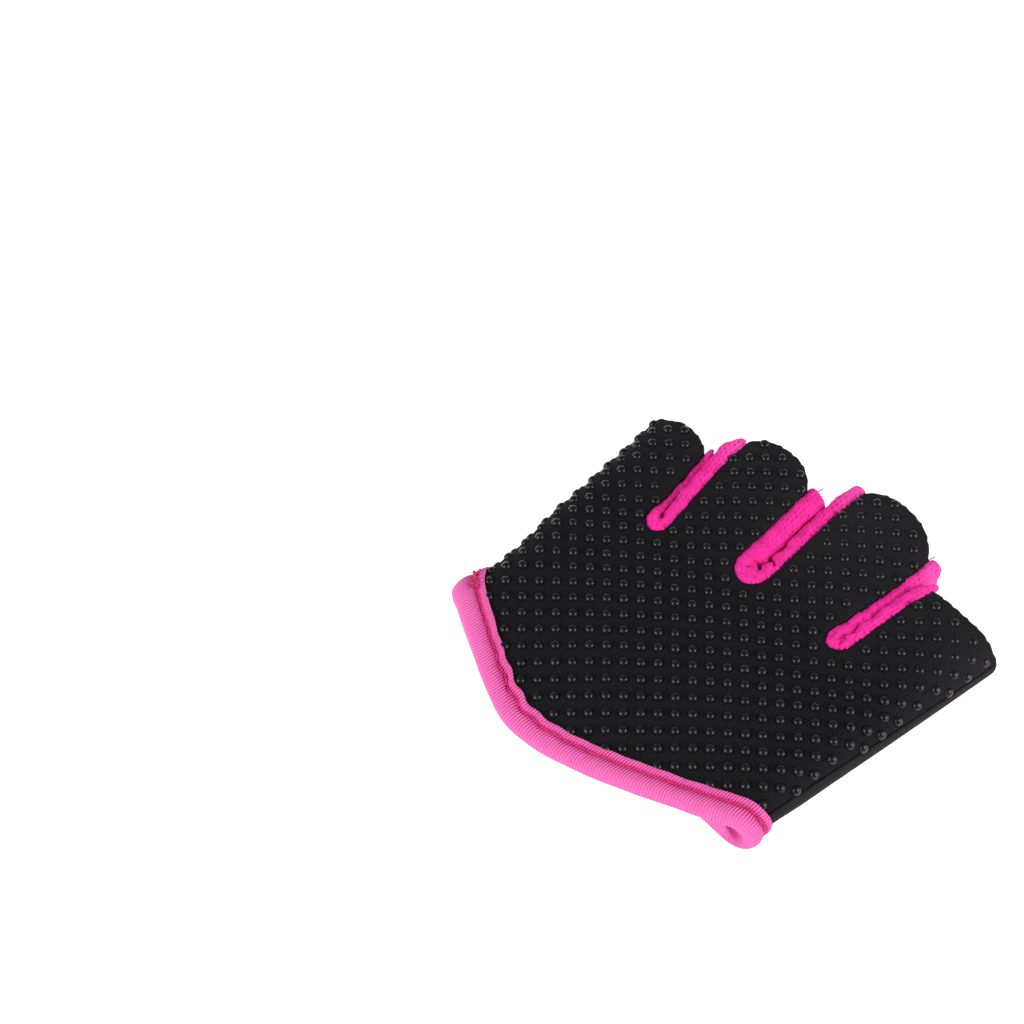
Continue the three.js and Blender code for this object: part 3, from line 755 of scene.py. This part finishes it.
def gusset_path(slot, number):
    """Stations along a slot's cut edge: the border, the cleft opposite it, heights and the arc length."""
    crotch_y = slot.crotch[1]
    parts = []
    for side, corner, over in zip((-1, 1), (slot.left, slot.right), slot.over):
        length = corner[1] - crotch_y
        line = np.linspace(ROUND_ROWS, 1 + over / length, int(length / LEGS.step))[1:]
        share = np.concatenate([round_shares(LEGS.round_steps), line])
        x, y = slot_side(slot, slot.width, side, share)
        parts.append((share, x, y, np.full_like(x, side)))
    share, x, y, side = (np.concatenate([a[::-1], b[1:]]) for a, b in zip(*parts))
    run = np.stack([x, y], -1)
    along = unit(np.gradient(run, axis=0))
    inward = np.stack([-along[:, 1], along[:, 0]], -1)
    arc = arc_lengths(run)
    start_y = crotch_y + slot.cleft
    ahead = y - start_y
    cleft_y = start_y + 0.5 * (ahead + np.hypot(ahead, LEGS.bend)) - LEGS.early
    left, right = (slot_side(slot, slot.width, s, (cleft_y - crotch_y) / (corner[1] - crotch_y))[0]
                   for s, corner in ((-1, slot.left), (1, slot.right)))
    valley = blend(*slot.valley, smoothstep(cleft_y, start_y, start_y + LEGS.passage))
    kink = sum(size * np.exp(-((cleft_y - at) / reach) ** 2) for at, size, reach in slot.kinks)
    cleft = np.stack([blend(left, right, valley) + kink, cleft_y], -1) + slot.press * inward
    to_end = np.minimum(arc, arc[-1] - arc)
    narrow = np.where(side < 0, *slot.taper) * smoothstep(to_end, LEGS.narrowing, 0)
    cleft = blend(cleft, run, narrow[:, None])
    pad = 1 - smoothstep(y - crotch_y, *(slot.cleft * part for part in LEGS.pad))
    low_bulge, high_bulge, pad_bulge = slot.bulge
    rise = np.where(side < 0, flap_rise(number, share, 0.0), flap_rise(number + 1, share, 0.0))
    bulge = blend(np.where(side < 0, low_bulge, high_bulge), pad_bulge, pad)
    lap = blend(np.where(side < 0, *slot.lap), max(slot.lap), pad)
    bulge = bulge * blend(LEGS.sunk, 1, smoothstep(to_end, 0, LEGS.sinking))
    return Sizes(run=run, cleft=cleft, height=palm_height(y) + rise, bulge=bulge, lap=lap,
                 arc=arc - arc[np.argmin(y)], pad=pad, to_end=to_end, left_leg=smoothstep(-side, -1, 1))


def crease_depth(slot, points):
    """How deep the gusset's creases are at points of its cloth: each falls off with the distance in plan."""
    deep = np.zeros(points.shape[:-1])
    for start, end, depth in slot.creases:
        start, run = np.array(start), np.subtract(end, start)
        share = np.clip((points[..., :2] - start) @ run / (run @ run), 0, 1)
        away = np.linalg.norm(points[..., :2] - start - share[..., None] * run, axis=-1)
        deep = np.maximum(deep, depth * np.exp(-(away / CREASE_HALF_WIDTH) ** 2))
    return deep


def gusset_shape(path):
    """Grid of points of a smooth wall that comes up from the palm's cut edge, arches over by two quarter
    ellipses and drops down the cleft to the back. The last part runs straight down."""
    width = np.linalg.norm(path.cleft - path.run, axis=1)[:, None]
    inward = (path.cleft - path.run) / width
    lap, height, top = path.lap[:, None], path.height[:, None], (path.height + path.bulge)[:, None]
    near = np.minimum(ARCH.near_share * width, ARCH.near) + lap
    far = width - near + lap
    drop = np.minimum(ARCH.drop_share * far, ARCH.drop)
    up = np.linspace(0, np.pi / 2, ARCH_STEPS.up)
    over = np.linspace(0, np.pi / 2, ARCH_STEPS.over)[1:]
    down = np.linspace(0, 1, ARCH_STEPS.down)[1:]
    inset = np.concatenate([
        np.full_like(width, ARCH.inset),
        near * (1 - np.cos(up)) - lap,
        near - lap + far * np.sin(over),
        width + 0 * down,
    ], 1)
    level = np.concatenate([
        height - ARCH.start,
        height - ARCH.spring + (path.bulge[:, None] + ARCH.spring) * np.sin(up),
        top - drop * (1 - np.cos(over)),
        blend(top - drop, BACK_WALL + SEAM_GAP, down),
    ], 1)
    plan = path.run[:, None] + inward[:, None] * inset[..., None]
    return np.concatenate([plan, level[..., None]], -1)


def gusset_cloth(slot, number, material):
    """A gusset's wall of mesh with its seam's teeth, its lumps, puffs and creases, and ribs at its end."""
    path = gusset_path(slot, number)
    smooth = gusset_shape(path)
    girth = girths(smooth)
    along = np.broadcast_to(path.arc[:, None], girth.shape)
    normals = unit(np.cross(np.gradient(smooth, axis=0), np.gradient(smooth, axis=1)))
    left_leg = path.left_leg[:, None]
    seam = np.exp(-((girth - TEETH.girth) / TEETH.reach) ** 2)
    teeth = np.sin(2 * np.pi * along / TEETH.pitch + TEETH.drift * np.sin(along / TEETH.drift_reach))
    teeth = teeth + TEETH.fine * np.sin(2 * np.pi * along / TEETH.fine_pitch + TEETH.start)
    scallop = blend(TEETH.right, TEETH.left, left_leg) * seam * teeth
    lumps = blend(ripple(LEG_WAVES, along, girth, number),
                  ripple(PAD_WAVES, smooth[..., 0], smooth[..., 1], number), path.pad[:, None])
    hem = smoothstep(path.to_end, LEG_RIBS.start, LEG_RIBS.full)[:, None] * left_leg
    ribs = slot.hem * hem * np.sin(2 * np.pi * girth / LEG_RIBS.pitch) * smoothstep(girth, *LEG_RIBS.girth)
    fall = quarter_round(path.to_end, LEGS.rounding)[:, None]
    points = smooth + normals * (scallop + lumps + ribs - crease_depth(slot, smooth) - fall)[..., None]
    inner = smooth - normals * GUSSET_WALL
    vertices, faces, uv = weld([Sizes(outer=points, inner=inner, uv=np.stack([along, girth], -1))])
    from_crotch = np.abs(uv[:, 0])
    # Painted light towards the legs' ends, for light through the thin mesh
    tip = smoothstep(np.max(from_crotch) - from_crotch, PAINTED_LIGHT_TIP.start, PAINTED_LIGHT_TIP.full)
    pad = np.interp(uv[:, 0], path.arc, path.pad)
    uv = blend(uv, vertices[:, :2] - slot.crotch, pad[:, None])
    # Masks: painted light towards the legs' ends and painted shade in the creases
    piece = add_mesh(f"gusset_cloth_{slot.name}", vertices, faces, material, uv,
                     {"pale": tip, "fold": crease_depth(slot, vertices), "pad": pad})
    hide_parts(f"gusset_{slot.name}")
    return piece


def rounded(points, count):
    """Closed Catmull-Rom curve through a few points, sampled evenly in its parameter."""
    points = np.asarray(points, float)
    place = np.linspace(0, len(points), count, endpoint=False)
    k = np.floor(place).astype(int)
    t = (place - k)[:, None]
    a, b, c, d = (points[(k + shift) % len(points)] for shift in (-1, 0, 1, 2))
    curve = 2 * b + (c - a) * t + (2 * a - 5 * b + 4 * c - d) * t ** 2 + (3 * b - a - 3 * c + d) * t ** 3
    return 0.5 * curve


def wrist_frame(place, inward):
    """Point, outward direction and face normal at a place, so many millimetres in from the wrist edge."""
    y = wrist_edge(place)
    ahead = lift_back(hand_point(place + NUDGE, wrist_edge(place + NUDGE)), np.zeros_like(place))
    behind = lift_back(hand_point(place - NUDGE, wrist_edge(place - NUDGE)), np.zeros_like(place))
    out = unit(np.cross(unit(ahead - behind), hand_normal(place, y)))
    covered = inward / -out[..., 1]
    point = lift_back(hand_point(place, y + covered), covered)
    return point, out, hand_normal(place, y + covered)


def tape_point(place, out, off):
    """Point of the tape at a place: past the edge it runs straight out, on the cloth it follows the face."""
    point, outward, normal = wrist_frame(place, np.maximum(-out, 0))
    return point + outward * np.maximum(out, 0)[..., None] + normal * off[..., None]


def round_wrist():
    """Places all the way round the wrist edge, and the arc length of the tape's roll up to each."""
    fine = np.linspace(TAPE_START, TAPE_START + FULL_ROUND, TAPE_LINE.points)
    line = tape_point(fine, np.full_like(fine, TAPE_LINE.out), np.full_like(fine, TAPE_LINE.off))
    return fine, arc_lengths(line)


def lip_sway(place, arc):
    """Sideways wander of the lip and the groove, most on the tongue's little-finger slope."""
    x = hand_point(place, wrist_edge(place))[..., 0]
    out = blend(SWAY.least, SWAY.out, np.exp(-((x - SWAY.x) / SWAY.reach) ** 2))
    return out * np.sin(2 * np.pi * arc / SWAY.pitch + SWAY.drift * np.sin(arc / SWAY.drift_reach))


def swelling(place, part):
    """Growth of the tape's roll or lip, or its shift outwards, at the hand's two sides."""
    half = FULL_ROUND / 2
    total = 0
    for s in SWELLS:
        away = np.mod(place - s.place + half, FULL_ROUND) - half
        total = total + getattr(s, part) * np.exp(-(away / s.reach) ** 2)
    return total[:, None]


def on_palm(place):
    """1 where the wrist edge is the palm's, 0 where it is the back's, with short passages between."""
    seam = index_seam(wrist_edge(INDEX_EDGE)) - FULL_ROUND
    part = np.mod(place, FULL_ROUND)
    return np.maximum(1 - smoothstep(part, seam, seam + PALM_PASSAGE.index),
                      smoothstep(part, UNDER_SEAM - PALM_PASSAGE.little, UNDER_SEAM))


def crest_share(place):
    """Share of the tape's full crest height: lower where the tape lies on the floor."""
    level = hand_point(place, wrist_edge(place))[..., 2] / PALM_HEIGHT
    return blend(LOW_CREST.share, 1.0, smoothstep(level, LOW_CREST.start, LOW_CREST.full))


def tape_roll(wall):
    """The tape's profile round a cloth of one thickness."""
    points = np.concatenate([np.array(ROLL) - [0, wall], [(NOSE_OUT, -wall / 2)], CREST])
    return rounded(points, TAPE_POINTS)[:-2]


def tape_profile(place):
    """The tape's profile at every place, out and off the cloth, and the level of the cloth's inner face."""
    palm = on_palm(place)
    profile = blend(tape_roll(BACK_WALL)[None], tape_roll(PALM_WALL)[None], palm[:, None, None])
    out, off = profile[..., 0], profile[..., 1]
    off = off * np.where(off > 0, crest_share(place)[:, None], 1)
    inside = -blend(BACK_WALL, PALM_WALL, palm) - CHANNEL_CLEAR
    part = np.mod(place, FULL_ROUND)
    pressed = smoothstep(part, MOUTH.start, MOUTH.full) * (1 - smoothstep(part, MOUTH.fading, MOUTH.end))
    body = smoothstep(inside[:, None] - off, *MOUTH.inner) * smoothstep(out, *MOUTH.nose)
    off = off - MOUTH.press * pressed[:, None] * body
    out = out + MOUTH.forward * pressed[:, None] * body
    roll = (out > STITCH.out) & (off > -PALM_WALL / 2)
    growth = 1 + np.where(roll, swelling(place, "roll"), swelling(place, "lip"))
    growth = np.where((off > 0) | (roll & (out > 0)), growth, 1)
    shift = swelling(place, "shift") * (growth > 1)
    return STITCH.out + (out - STITCH.out) * growth + shift, off * growth, inside


def rib_strength(place, out, off):
    """How strongly stitches draw the tape's ribs: most on the roll beside them, calm by the little finger."""
    beyond = np.maximum(out - STITCH.out, 0)
    drawn = np.where(out < STITCH.out, RIBS.lip, np.exp(-np.maximum(beyond - RIBS.hold, 0) / RIBS.fade))
    x = hand_point(place, wrist_edge(place))[:, None, 0]
    calm = blend(RIBS.calm, 1, smoothstep(x, RIBS.calm_x, RIBS.full_x))
    return np.where(off > 0, blend(RIBS.least, 1, drawn), RIBS.under) * calm


def binding_tape(material):
    """Ribbed tape rolled over the wrist edge: one rounded profile carried round it, ribs as fine waves."""
    fine, fine_arc = round_wrist()
    ribs = int(fine_arc[-1] / RIBS.pitch)
    arc = np.linspace(0, fine_arc[-1], ribs * RIBS.samples, endpoint=False)
    place = np.interp(arc, fine_arc, fine)
    out, off, inside = tape_profile(place)
    drawn = rib_strength(place, out, off)
    groove = np.exp(-((out - STITCH.out) / GROOVE_WIDTH) ** 2) * (off > 0)
    lip = smoothstep(-out, -SWAY.start, -STITCH.out) * (off > 0)
    clear = np.full_like(inside, CHANNEL_CLEAR)
    channel = np.stack([clear, clear, inside, inside], -1)
    out = out + lip * lip_sway(place, arc)[:, None]
    out = np.concatenate([out, np.broadcast_to(CHANNEL_OUT, channel.shape)], 1)
    off = np.concatenate([off, channel], 1)
    points = tape_point(place[:, None] + 0 * out, out, off)
    around = np.roll(points, -1, 0) - np.roll(points, 1, 0)
    across = np.roll(points, -1, 1) - np.roll(points, 1, 1)
    turns = arc / fine_arc[-1] * ribs
    rib = np.cos(2 * np.pi * turns)[:, None]
    whole = ((0, 0), (0, channel.shape[1]))
    lift = np.pad((RIBS.height + RIBS.drawn * drawn) * rib + ripple(TAPE_WAVES, arc)[:, None], whole)
    points = points + unit(np.cross(around, across)) * lift[..., None]
    m, n = points.shape[:2]
    index = np.arange(m * n).reshape(m, n)
    ahead, beside = np.roll(index, -1, 0), np.roll(index, -1, 1)
    faces = np.stack([index, ahead, np.roll(ahead, -1, 1), beside], -1).reshape(-1, 4)
    girth = girths(points)
    uv = np.stack([np.broadcast_to(turns[:, None], girth.shape), girth], -1).reshape(-1, 2)
    # The groove and drawn masks also set the painted shade in the groove and between the ribs, and the painted
    # highlights on the crests
    masks = {"groove": np.pad(groove, whole).ravel(), "drawn": np.pad(drawn, whole).ravel()}
    piece = add_mesh("binding_tape", points.reshape(-1, 3), faces, material, uv, masks)
    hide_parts("cuff_binding")
    return piece


def tubes(name, paths, radius, sides, material):
    """Round threads along many paths of equal point counts, tapered to closed ends."""
    along = unit(np.gradient(paths, axis=1))
    side = unit(np.cross(along, ASKEW))
    other = np.cross(along, side)
    count = paths.shape[1]
    taper = np.ones(count)
    taper[[0, -1]] = THREAD_TIP
    turn = np.linspace(0, 2 * np.pi, sides, endpoint=False)
    ring = side[:, :, None] * np.cos(turn)[:, None] + other[:, :, None] * np.sin(turn)[:, None]
    points = paths[:, :, None] + ring * radius * taper[:, None, None]
    ends = paths[:, [0, -1]]
    per = count * sides + 2
    vertices = np.concatenate([points.reshape(len(paths), -1, 3), ends], 1).reshape(-1, 3)
    k = np.arange(count * sides).reshape(count, sides)
    walls = np.stack([k[:-1], np.roll(k, -1, 1)[:-1], np.roll(k, -1, 1)[1:], k[1:]], -1).reshape(-1, 4)
    first = np.stack([np.roll(k[0], -1), k[0], np.full(sides, per - 2), np.full(sides, per - 2)], -1)
    last = np.stack([k[-1], np.roll(k[-1], -1), np.full(sides, per - 1), np.full(sides, per - 1)], -1)
    shape = np.concatenate([walls, first, last])
    faces = (shape[None] + per * np.arange(len(paths))[:, None, None]).reshape(-1, 4)
    return add_mesh(name, vertices, faces, material)


def cuff_stitches(material):
    """A lockstitch in the groove behind the tape's lip, each stitch a short arch of thread."""
    fine, arc = round_wrist()
    t = np.linspace(0, 1, STITCH.points)
    where = np.arange(int(arc[-1] / STITCH.pitch))[:, None] * STITCH.pitch + t * STITCH.length
    place = np.interp(where, arc, fine)
    off = blend(STITCH.low, STITCH.high, np.sin(np.pi * t)) * crest_share(place)
    line = tape_point(place, STITCH.out + lip_sway(place, where), off)
    piece = tubes("cuff_stitches", line, STITCH.radius, STITCH.sides, material)
    return piece


def loose_threads(name, ends, radius, material):
    """Thread ends: short curls through three points each, smoothed by a quadratic blend."""
    t = np.linspace(0, 1, LOOSE.points)[:, None]
    a, b, c = (np.array(ends, float)[:, k, None] for k in range(3))
    paths = a * (1 - t) ** 2 + 2 * b * t * (1 - t) + c * t ** 2
    piece = tubes(name, paths, radius, LOOSE.sides, material)
    return piece


def frayed_thread(material):
    """The lockstitch's frayed end: tangled curls in the groove on the little finger's side."""
    random = np.random.default_rng(FRAY.seed)
    place = random.uniform(*FRAY.places, FRAY.count)
    middle = tape_point(place, np.full(FRAY.count, STITCH.out), random.uniform(*FRAY.off, FRAY.count))
    swings = random.normal(0, FRAY.swing, (2, FRAY.count, 3))
    ends = np.stack([middle + swings[0], middle, middle + swings[1]], 1)
    return loose_threads("frayed_thread", ends, FRAY.radius, material)


class Nodes:
    """A node tree with short ways to add nodes to it; its noise goes by the place."""

    def __init__(self, tree):
        self.tree = tree
        self.place = None

    def add(self, kind, **settings):
        """A new node with its settings."""
        node = self.tree.nodes.new(kind)
        for setting, value in settings.items():
            setattr(node, setting, value)
        return node

    def feed(self, socket, value):
        """Links another node's output to a socket, or sets its plain value."""
        if isinstance(value, bpy.types.NodeSocket):
            self.tree.links.new(value, socket)
        else:
            socket.default_value = value

    def math(self, operation, *values):
        """Output of a math node."""
        node = self.add("ShaderNodeMath", operation=operation)
        for socket, value in zip(node.inputs, values):
            self.feed(socket, value)
        return node.outputs[0]

    plus = partialmethod(math, "ADD")
    minus = partialmethod(math, "SUBTRACT")
    times = partialmethod(math, "MULTIPLY")
    over = partialmethod(math, "DIVIDE")
    times_plus = partialmethod(math, "MULTIPLY_ADD")

    def wave(self, value, pitch):
        """Ridges from 0 to 1, one for each pitch."""
        return self.times_plus(self.math("COSINE", self.times(value, 2 * np.pi / pitch)), 0.5, 0.5)

    def noise(self, scale):
        """Noise with so many features to a millimetre."""
        texture = self.add("ShaderNodeTexNoise")
        texture.inputs["Scale"].default_value = scale
        texture.inputs["Detail"].default_value = 2.0
        self.feed(texture.inputs["Vector"], self.place)
        return texture.outputs["Fac"]

    def mask(self, name):
        """Value of a mesh's mask."""
        return self.add("ShaderNodeAttribute", attribute_name=name).outputs["Fac"]


def cloth_group(name, make):
    """A node group with a shade, a height and a paleness, made from millimetres over the cloth."""
    tree = bpy.data.node_groups.new(name, "ShaderNodeTree")
    for output in ("Shade", "Height", "Pale"):
        tree.interface.new_socket(output, in_out="OUTPUT", socket_type="NodeSocketFloat")
    n = Nodes(tree)
    n.place = n.add("ShaderNodeUVMap", uv_map="cloth").outputs["UV"]
    split = n.add("ShaderNodeSeparateXYZ")
    n.feed(split.inputs[0], n.place)
    values = make(n, split.outputs["X"], split.outputs["Y"])
    for socket, value in zip(n.add("NodeGroupOutput").inputs, values):
        n.feed(socket, value)
    return tree


def twill_face(n, across, along):
    """Fine lines along the hand, broken up by noise; painted light makes the cloth lighter towards the finger
    ends.
    """
    lines = n.wave(n.times_plus(n.noise(TWILL.drift_noise), TWILL.drift, across), TWILL.pitch)
    grain = n.noise(TWILL.grain_noise)
    # Painted light that grows towards the finger ends
    pale = n.times_plus(along, 1 / TWILL.pale_run, TWILL.pale)
    return n.times(lines, n.times(grain, TWILL.contrast)), n.plus(lines, grain), pale


def back_knit(n, across, along):
    """Small knit loops: two crossing waves."""
    loops = n.times(n.wave(across, KNIT.across), n.wave(along, KNIT.along))
    return loops, n.plus(loops, n.noise(KNIT.grain_noise))


def mesh_knit(n, along, across):
    """Slanting holes in rows over fine knit lines; the holes are only painted, dark with painted shade. A
    random value for each hole makes some faint. The pad at the crotch has no holes but soft flecks, the creases
    are darker with painted shade and the legs' ends lighter with painted light."""
    row = n.over(across, HOLES.row)
    number = n.math("FLOOR", row)
    wander = n.times_plus(n.noise(HOLES.drift_noise), HOLES.drift, n.times(number, 0.5))
    steps = n.plus(n.over(along, HOLES.pitch), wander)
    cell = n.add("ShaderNodeCombineXYZ")
    n.feed(cell.inputs["X"], n.math("FLOOR", steps))
    n.feed(cell.inputs["Y"], number)
    random = n.add("ShaderNodeTexWhiteNoise", noise_dimensions="2D")
    n.feed(random.inputs["Vector"], cell.outputs[0])
    du = n.times(n.minus(n.math("FRACT", steps), 0.5), HOLES.pitch)
    dv = n.times(n.minus(n.math("FRACT", row), 0.5), HOLES.row)
    dv = n.over(n.times_plus(du, -HOLES.slant, dv), HOLES.width)
    du = n.over(du, HOLES.length)
    far = n.math("SQRT", n.plus(n.times(du, du), n.times(dv, dv)))
    hole = n.add("ShaderNodeMapRange", interpolation_type="SMOOTHSTEP")
    limits = {"Value": far, "From Min": HOLES.core, "From Max": HOLES.rim, "To Min": 1.0, "To Max": 0.0}
    for socket, value in limits.items():
        n.feed(hole.inputs[socket], value)
    open_knit = n.times(hole.outputs[0], n.minus(1.0, n.mask("pad")))
    # Painted shade in the holes
    dark = n.times(open_knit, n.times_plus(random.outputs["Value"], HOLES.strength, HOLES.faint))
    grain = n.noise(MESH.grain_noise)
    soft = n.times(n.minus(grain, MESH.grain_from), MESH.grain)
    flecks = n.times_plus(n.noise(MESH.fleck_noise), MESH.fleck_slope, MESH.fleck_from)
    flecks = n.times(n.math("MAXIMUM", flecks, 0.0), n.mask("pad"))
    # Painted shade in the creases
    shade = n.times_plus(n.mask("fold"), MESH.fold, n.plus(dark, soft))
    shade = n.times_plus(flecks, MESH.fleck, shade)
    relief = n.plus(grain, n.times(n.wave(across, MESH.pitch), MESH.lines))
    # Painted light towards the legs' ends
    pale = n.times(n.mask("pale"), n.times_plus(n.noise(MESH.pale_noise), MESH.pale, MESH.pale_least))
    return shade, n.minus(relief, n.times(open_knit, HOLES.depth)), pale


def rib_face(n, ribs, across):
    """Painted shade between the ribs and painted highlights on their crests, both stronger where the stitches
    draw the tape in, and more painted shade in the groove.
    """
    drawn = n.mask("drawn")
    crest = n.wave(ribs, 1.0)
    valley = n.minus(1.0, crest)
    uneven = n.times_plus(n.noise(RIB_FACE.uneven_noise), RIB_FACE.uneven, RIB_FACE.even)
    depth = n.times(n.times_plus(drawn, RIB_FACE.drawn, RIB_FACE.least), uneven)
    # Painted shade between the ribs and in the groove
    line = n.times(n.math("POWER", valley, RIB_FACE.sharp), depth)
    shade = n.plus(line, n.times(n.mask("groove"), RIB_FACE.groove))
    # Painted highlights on the rib crests, stronger where the ribs are drawn
    pale = n.times(n.times(crest, drawn), RIB_FACE.pale)
    return shade, n.minus(n.noise(RIB_FACE.grain_noise), n.times(valley, RIB_FACE.valley)), pale


def new_material(name, color, roughness, face=None, dark=None, pale=None, depth=0.0, **sockets):
    """A material with its Principled shader. A cloth's face mixes in its pale and dark colours, and its
    height gives bumps of the depth."""
    material = bpy.data.materials.new(name)
    material.use_nodes = True
    n = Nodes(material.node_tree)
    shader = n.tree.nodes["Principled BSDF"]
    n.feed(shader.inputs["Base Color"], (*color, 1))
    n.feed(shader.inputs["Roughness"], roughness)
    for socket, value in sockets.items():
        n.feed(shader.inputs[socket.replace("_", " ")], value)
    if face:
        group = n.add("ShaderNodeGroup", node_tree=cloth_group(face.__name__, face))
        lighter, darker = (n.add("ShaderNodeMix", data_type="RGBA") for _ in range(2))
        for mix, tone, output in ((lighter, pale or color, "Pale"), (darker, dark, "Shade")):
            n.feed(mix.inputs["A"], (*color, 1))
            n.feed(mix.inputs["B"], (*tone, 1))
            n.feed(mix.inputs["Factor"], group.outputs[output])
        n.feed(darker.inputs["A"], lighter.outputs["Result"])
        n.feed(shader.inputs["Base Color"], darker.outputs["Result"])
        bump = n.add("ShaderNodeBump")
        n.feed(bump.inputs["Distance"], depth * MM)
        n.feed(bump.inputs["Height"], group.outputs["Height"])
        n.feed(shader.inputs["Normal"], bump.outputs["Normal"])
    return material


def studio():
    """White floor, and a world with a bright backdrop low down beyond the glove."""
    floor = bpy.data.objects.new("floor", bpy.data.meshes.new("floor"))
    half = FLOOR.half
    corners = [(-half, -half, 0), (half, -half, 0), (half, half, 0), (-half, half, 0)]
    floor.data.from_pydata(corners, [], [(0, 1, 2, 3)])
    floor.data.materials.append(new_material("floor_white", FLOOR.white, FLOOR.rough,
                                             Emission_Color=(1, 1, 1, 1), Emission_Strength=FLOOR.glow))
    bpy.context.scene.collection.objects.link(floor)
    world = bpy.data.worlds.new("studio")
    bpy.context.scene.world = world
    world.use_nodes = True
    n = Nodes(world.node_tree)
    place = n.add("ShaderNodeTexCoord").outputs["Generated"]
    split = n.add("ShaderNodeSeparateXYZ")
    n.feed(split.inputs[0], place)
    beyond = n.add("ShaderNodeVectorMath", operation="DOT_PRODUCT")
    n.feed(beyond.inputs[0], place)
    n.feed(beyond.inputs[1], view_directions()[1])
    height = n.over(split.outputs["Z"], BACKDROP.top)
    low = n.minus(1.0, n.math("SMOOTH_MIN", height, 1.0, BACKDROP.soft))
    far = n.times_plus(beyond.outputs["Value"], BACKDROP.turn, BACKDROP.start)
    glow = n.times(n.math("MAXIMUM", far, 0.0), n.math("MAXIMUM", low, 0.0))
    background = n.tree.nodes["Background"]
    n.feed(background.inputs["Strength"], n.times_plus(glow, BACKDROP.glow, BACKDROP.dim))
    n.feed(background.inputs["Color"], (1, 1, 1, 1))


def view_directions():
    """The camera's right, its level direction ahead and its line of sight in the glove's frame."""
    turn, tilt = np.radians(CAMERA.degrees_round), np.radians(CAMERA.degrees_down)
    right = np.array([np.cos(turn), np.sin(turn), 0])
    level = np.array([-np.sin(turn), np.cos(turn), 0])
    forward = level * np.cos(tilt) - np.array([0, 0, np.sin(tilt)])
    return right, level, forward


def soft_box(name, side):
    """A square area light that looks at the glove from the camera's left or right, at the side -1 or 1."""
    right, level, _ = view_directions()
    spot = right * side * SOFT_BOX.sideways + level * SOFT_BOX.ahead + np.array([0, 0, SOFT_BOX.up])
    light = bpy.data.lights.new(name, "AREA")
    light.shape = "RECTANGLE"
    light.size = light.size_y = SOFT_BOX.size
    light.energy = SOFT_BOX.power
    lamp = bpy.data.objects.new(name, light)
    bpy.context.scene.collection.objects.link(lamp)
    turn = (-Vector(spot)).to_track_quat("-Z", "Y").to_matrix().to_4x4()
    lamp.matrix_world = Matrix.Translation(spot) @ turn


def camera():
    """The photograph's camera: its place over the cutting frame, its two angles and its focal length."""
    right, _, forward = view_directions()
    lens = bpy.data.cameras.new("camera")
    lens.sensor_width = SENSOR
    lens.lens = CAMERA.focal_pixels / PICTURE_PIXELS * SENSOR
    view = bpy.data.objects.new("camera", lens)
    bpy.context.scene.collection.objects.link(view)
    up = np.cross(right, forward)
    turn = Matrix(np.stack([right, up, -forward], -1).tolist()).to_4x4()
    spot = (np.array([CAMERA.x, CAMERA.y, CAMERA.height + PALM_HEIGHT]) - MIDDLE) * MM
    view.matrix_world = Matrix.Translation(spot) @ turn
    bpy.context.scene.camera = view


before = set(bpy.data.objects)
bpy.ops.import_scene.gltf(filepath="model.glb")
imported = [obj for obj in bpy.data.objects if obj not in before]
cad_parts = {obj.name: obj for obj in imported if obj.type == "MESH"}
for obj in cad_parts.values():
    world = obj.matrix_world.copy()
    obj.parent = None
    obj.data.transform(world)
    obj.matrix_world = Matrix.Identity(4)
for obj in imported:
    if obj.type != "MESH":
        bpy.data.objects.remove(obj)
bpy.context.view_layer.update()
bpy.context.scene.view_settings.view_transform = "Standard"

camera()
studio()
soft_box("left_box", -1)
soft_box("right_box", 1)

# The palm's pale colour is painted light towards the finger ends; its dark colour is the twill's lines
palm_black = new_material("palm_black", (0.0165, 0.0153, 0.018), 0.9, twill_face,
                          dark=(0.001, 0.0008, 0.0012), pale=(0.027, 0.025, 0.029), depth=0.06,
                          Specular_IOR_Level=0.08)
back_black = new_material("back_black", (0.013, 0.0113, 0.0122), 0.9, back_knit,
                          dark=(0.001, 0.0008, 0.001), depth=0.09, Specular_IOR_Level=0.08,
                          Sheen_Weight=0.04, Sheen_Tint=(1, 0.5, 0.62, 1))
rubber = new_material("rubber", (0.0065, 0.0063, 0.007), 0.24, Specular_IOR_Level=0.22)
# Mesh dark: painted shade in holes and creases, plus the knit's own grain; pale: painted light at legs' ends
mesh_pink = new_material("mesh_pink", (0.80, 0.028, 0.31), 0.85, mesh_knit, dark=(0.48, 0.004, 0.12),
                         pale=(0.88, 0.10, 0.45), depth=0.10, Specular_IOR_Level=0.1)
# Tape dark: painted shade between the ribs and in the groove; pale: painted highlights on the crests
tape_pink = new_material("tape_pink", (0.645, 0.118, 0.36), 0.75, rib_face, dark=(0.52, 0.008, 0.16),
                         pale=(0.86, 0.22, 0.55), depth=0.03, Specular_IOR_Level=0.2)
crimson = new_material("crimson", (0.56, 0.012, 0.125), 0.6)
black_thread = new_material("black_thread", (0.01, 0.01, 0.01), 0.8)

back_cloth(back_black)
palm_cloth(palm_black)
grip_dots(rubber)
for number, slot in enumerate(SLOTS):
    gusset_cloth(slot, number, mesh_pink)
binding_tape(tape_pink)
cuff_stitches(crimson)
frayed_thread(crimson)
loose_threads("black_thread_ends", BLACK_ENDS, BLACK_RADIUS, black_thread)
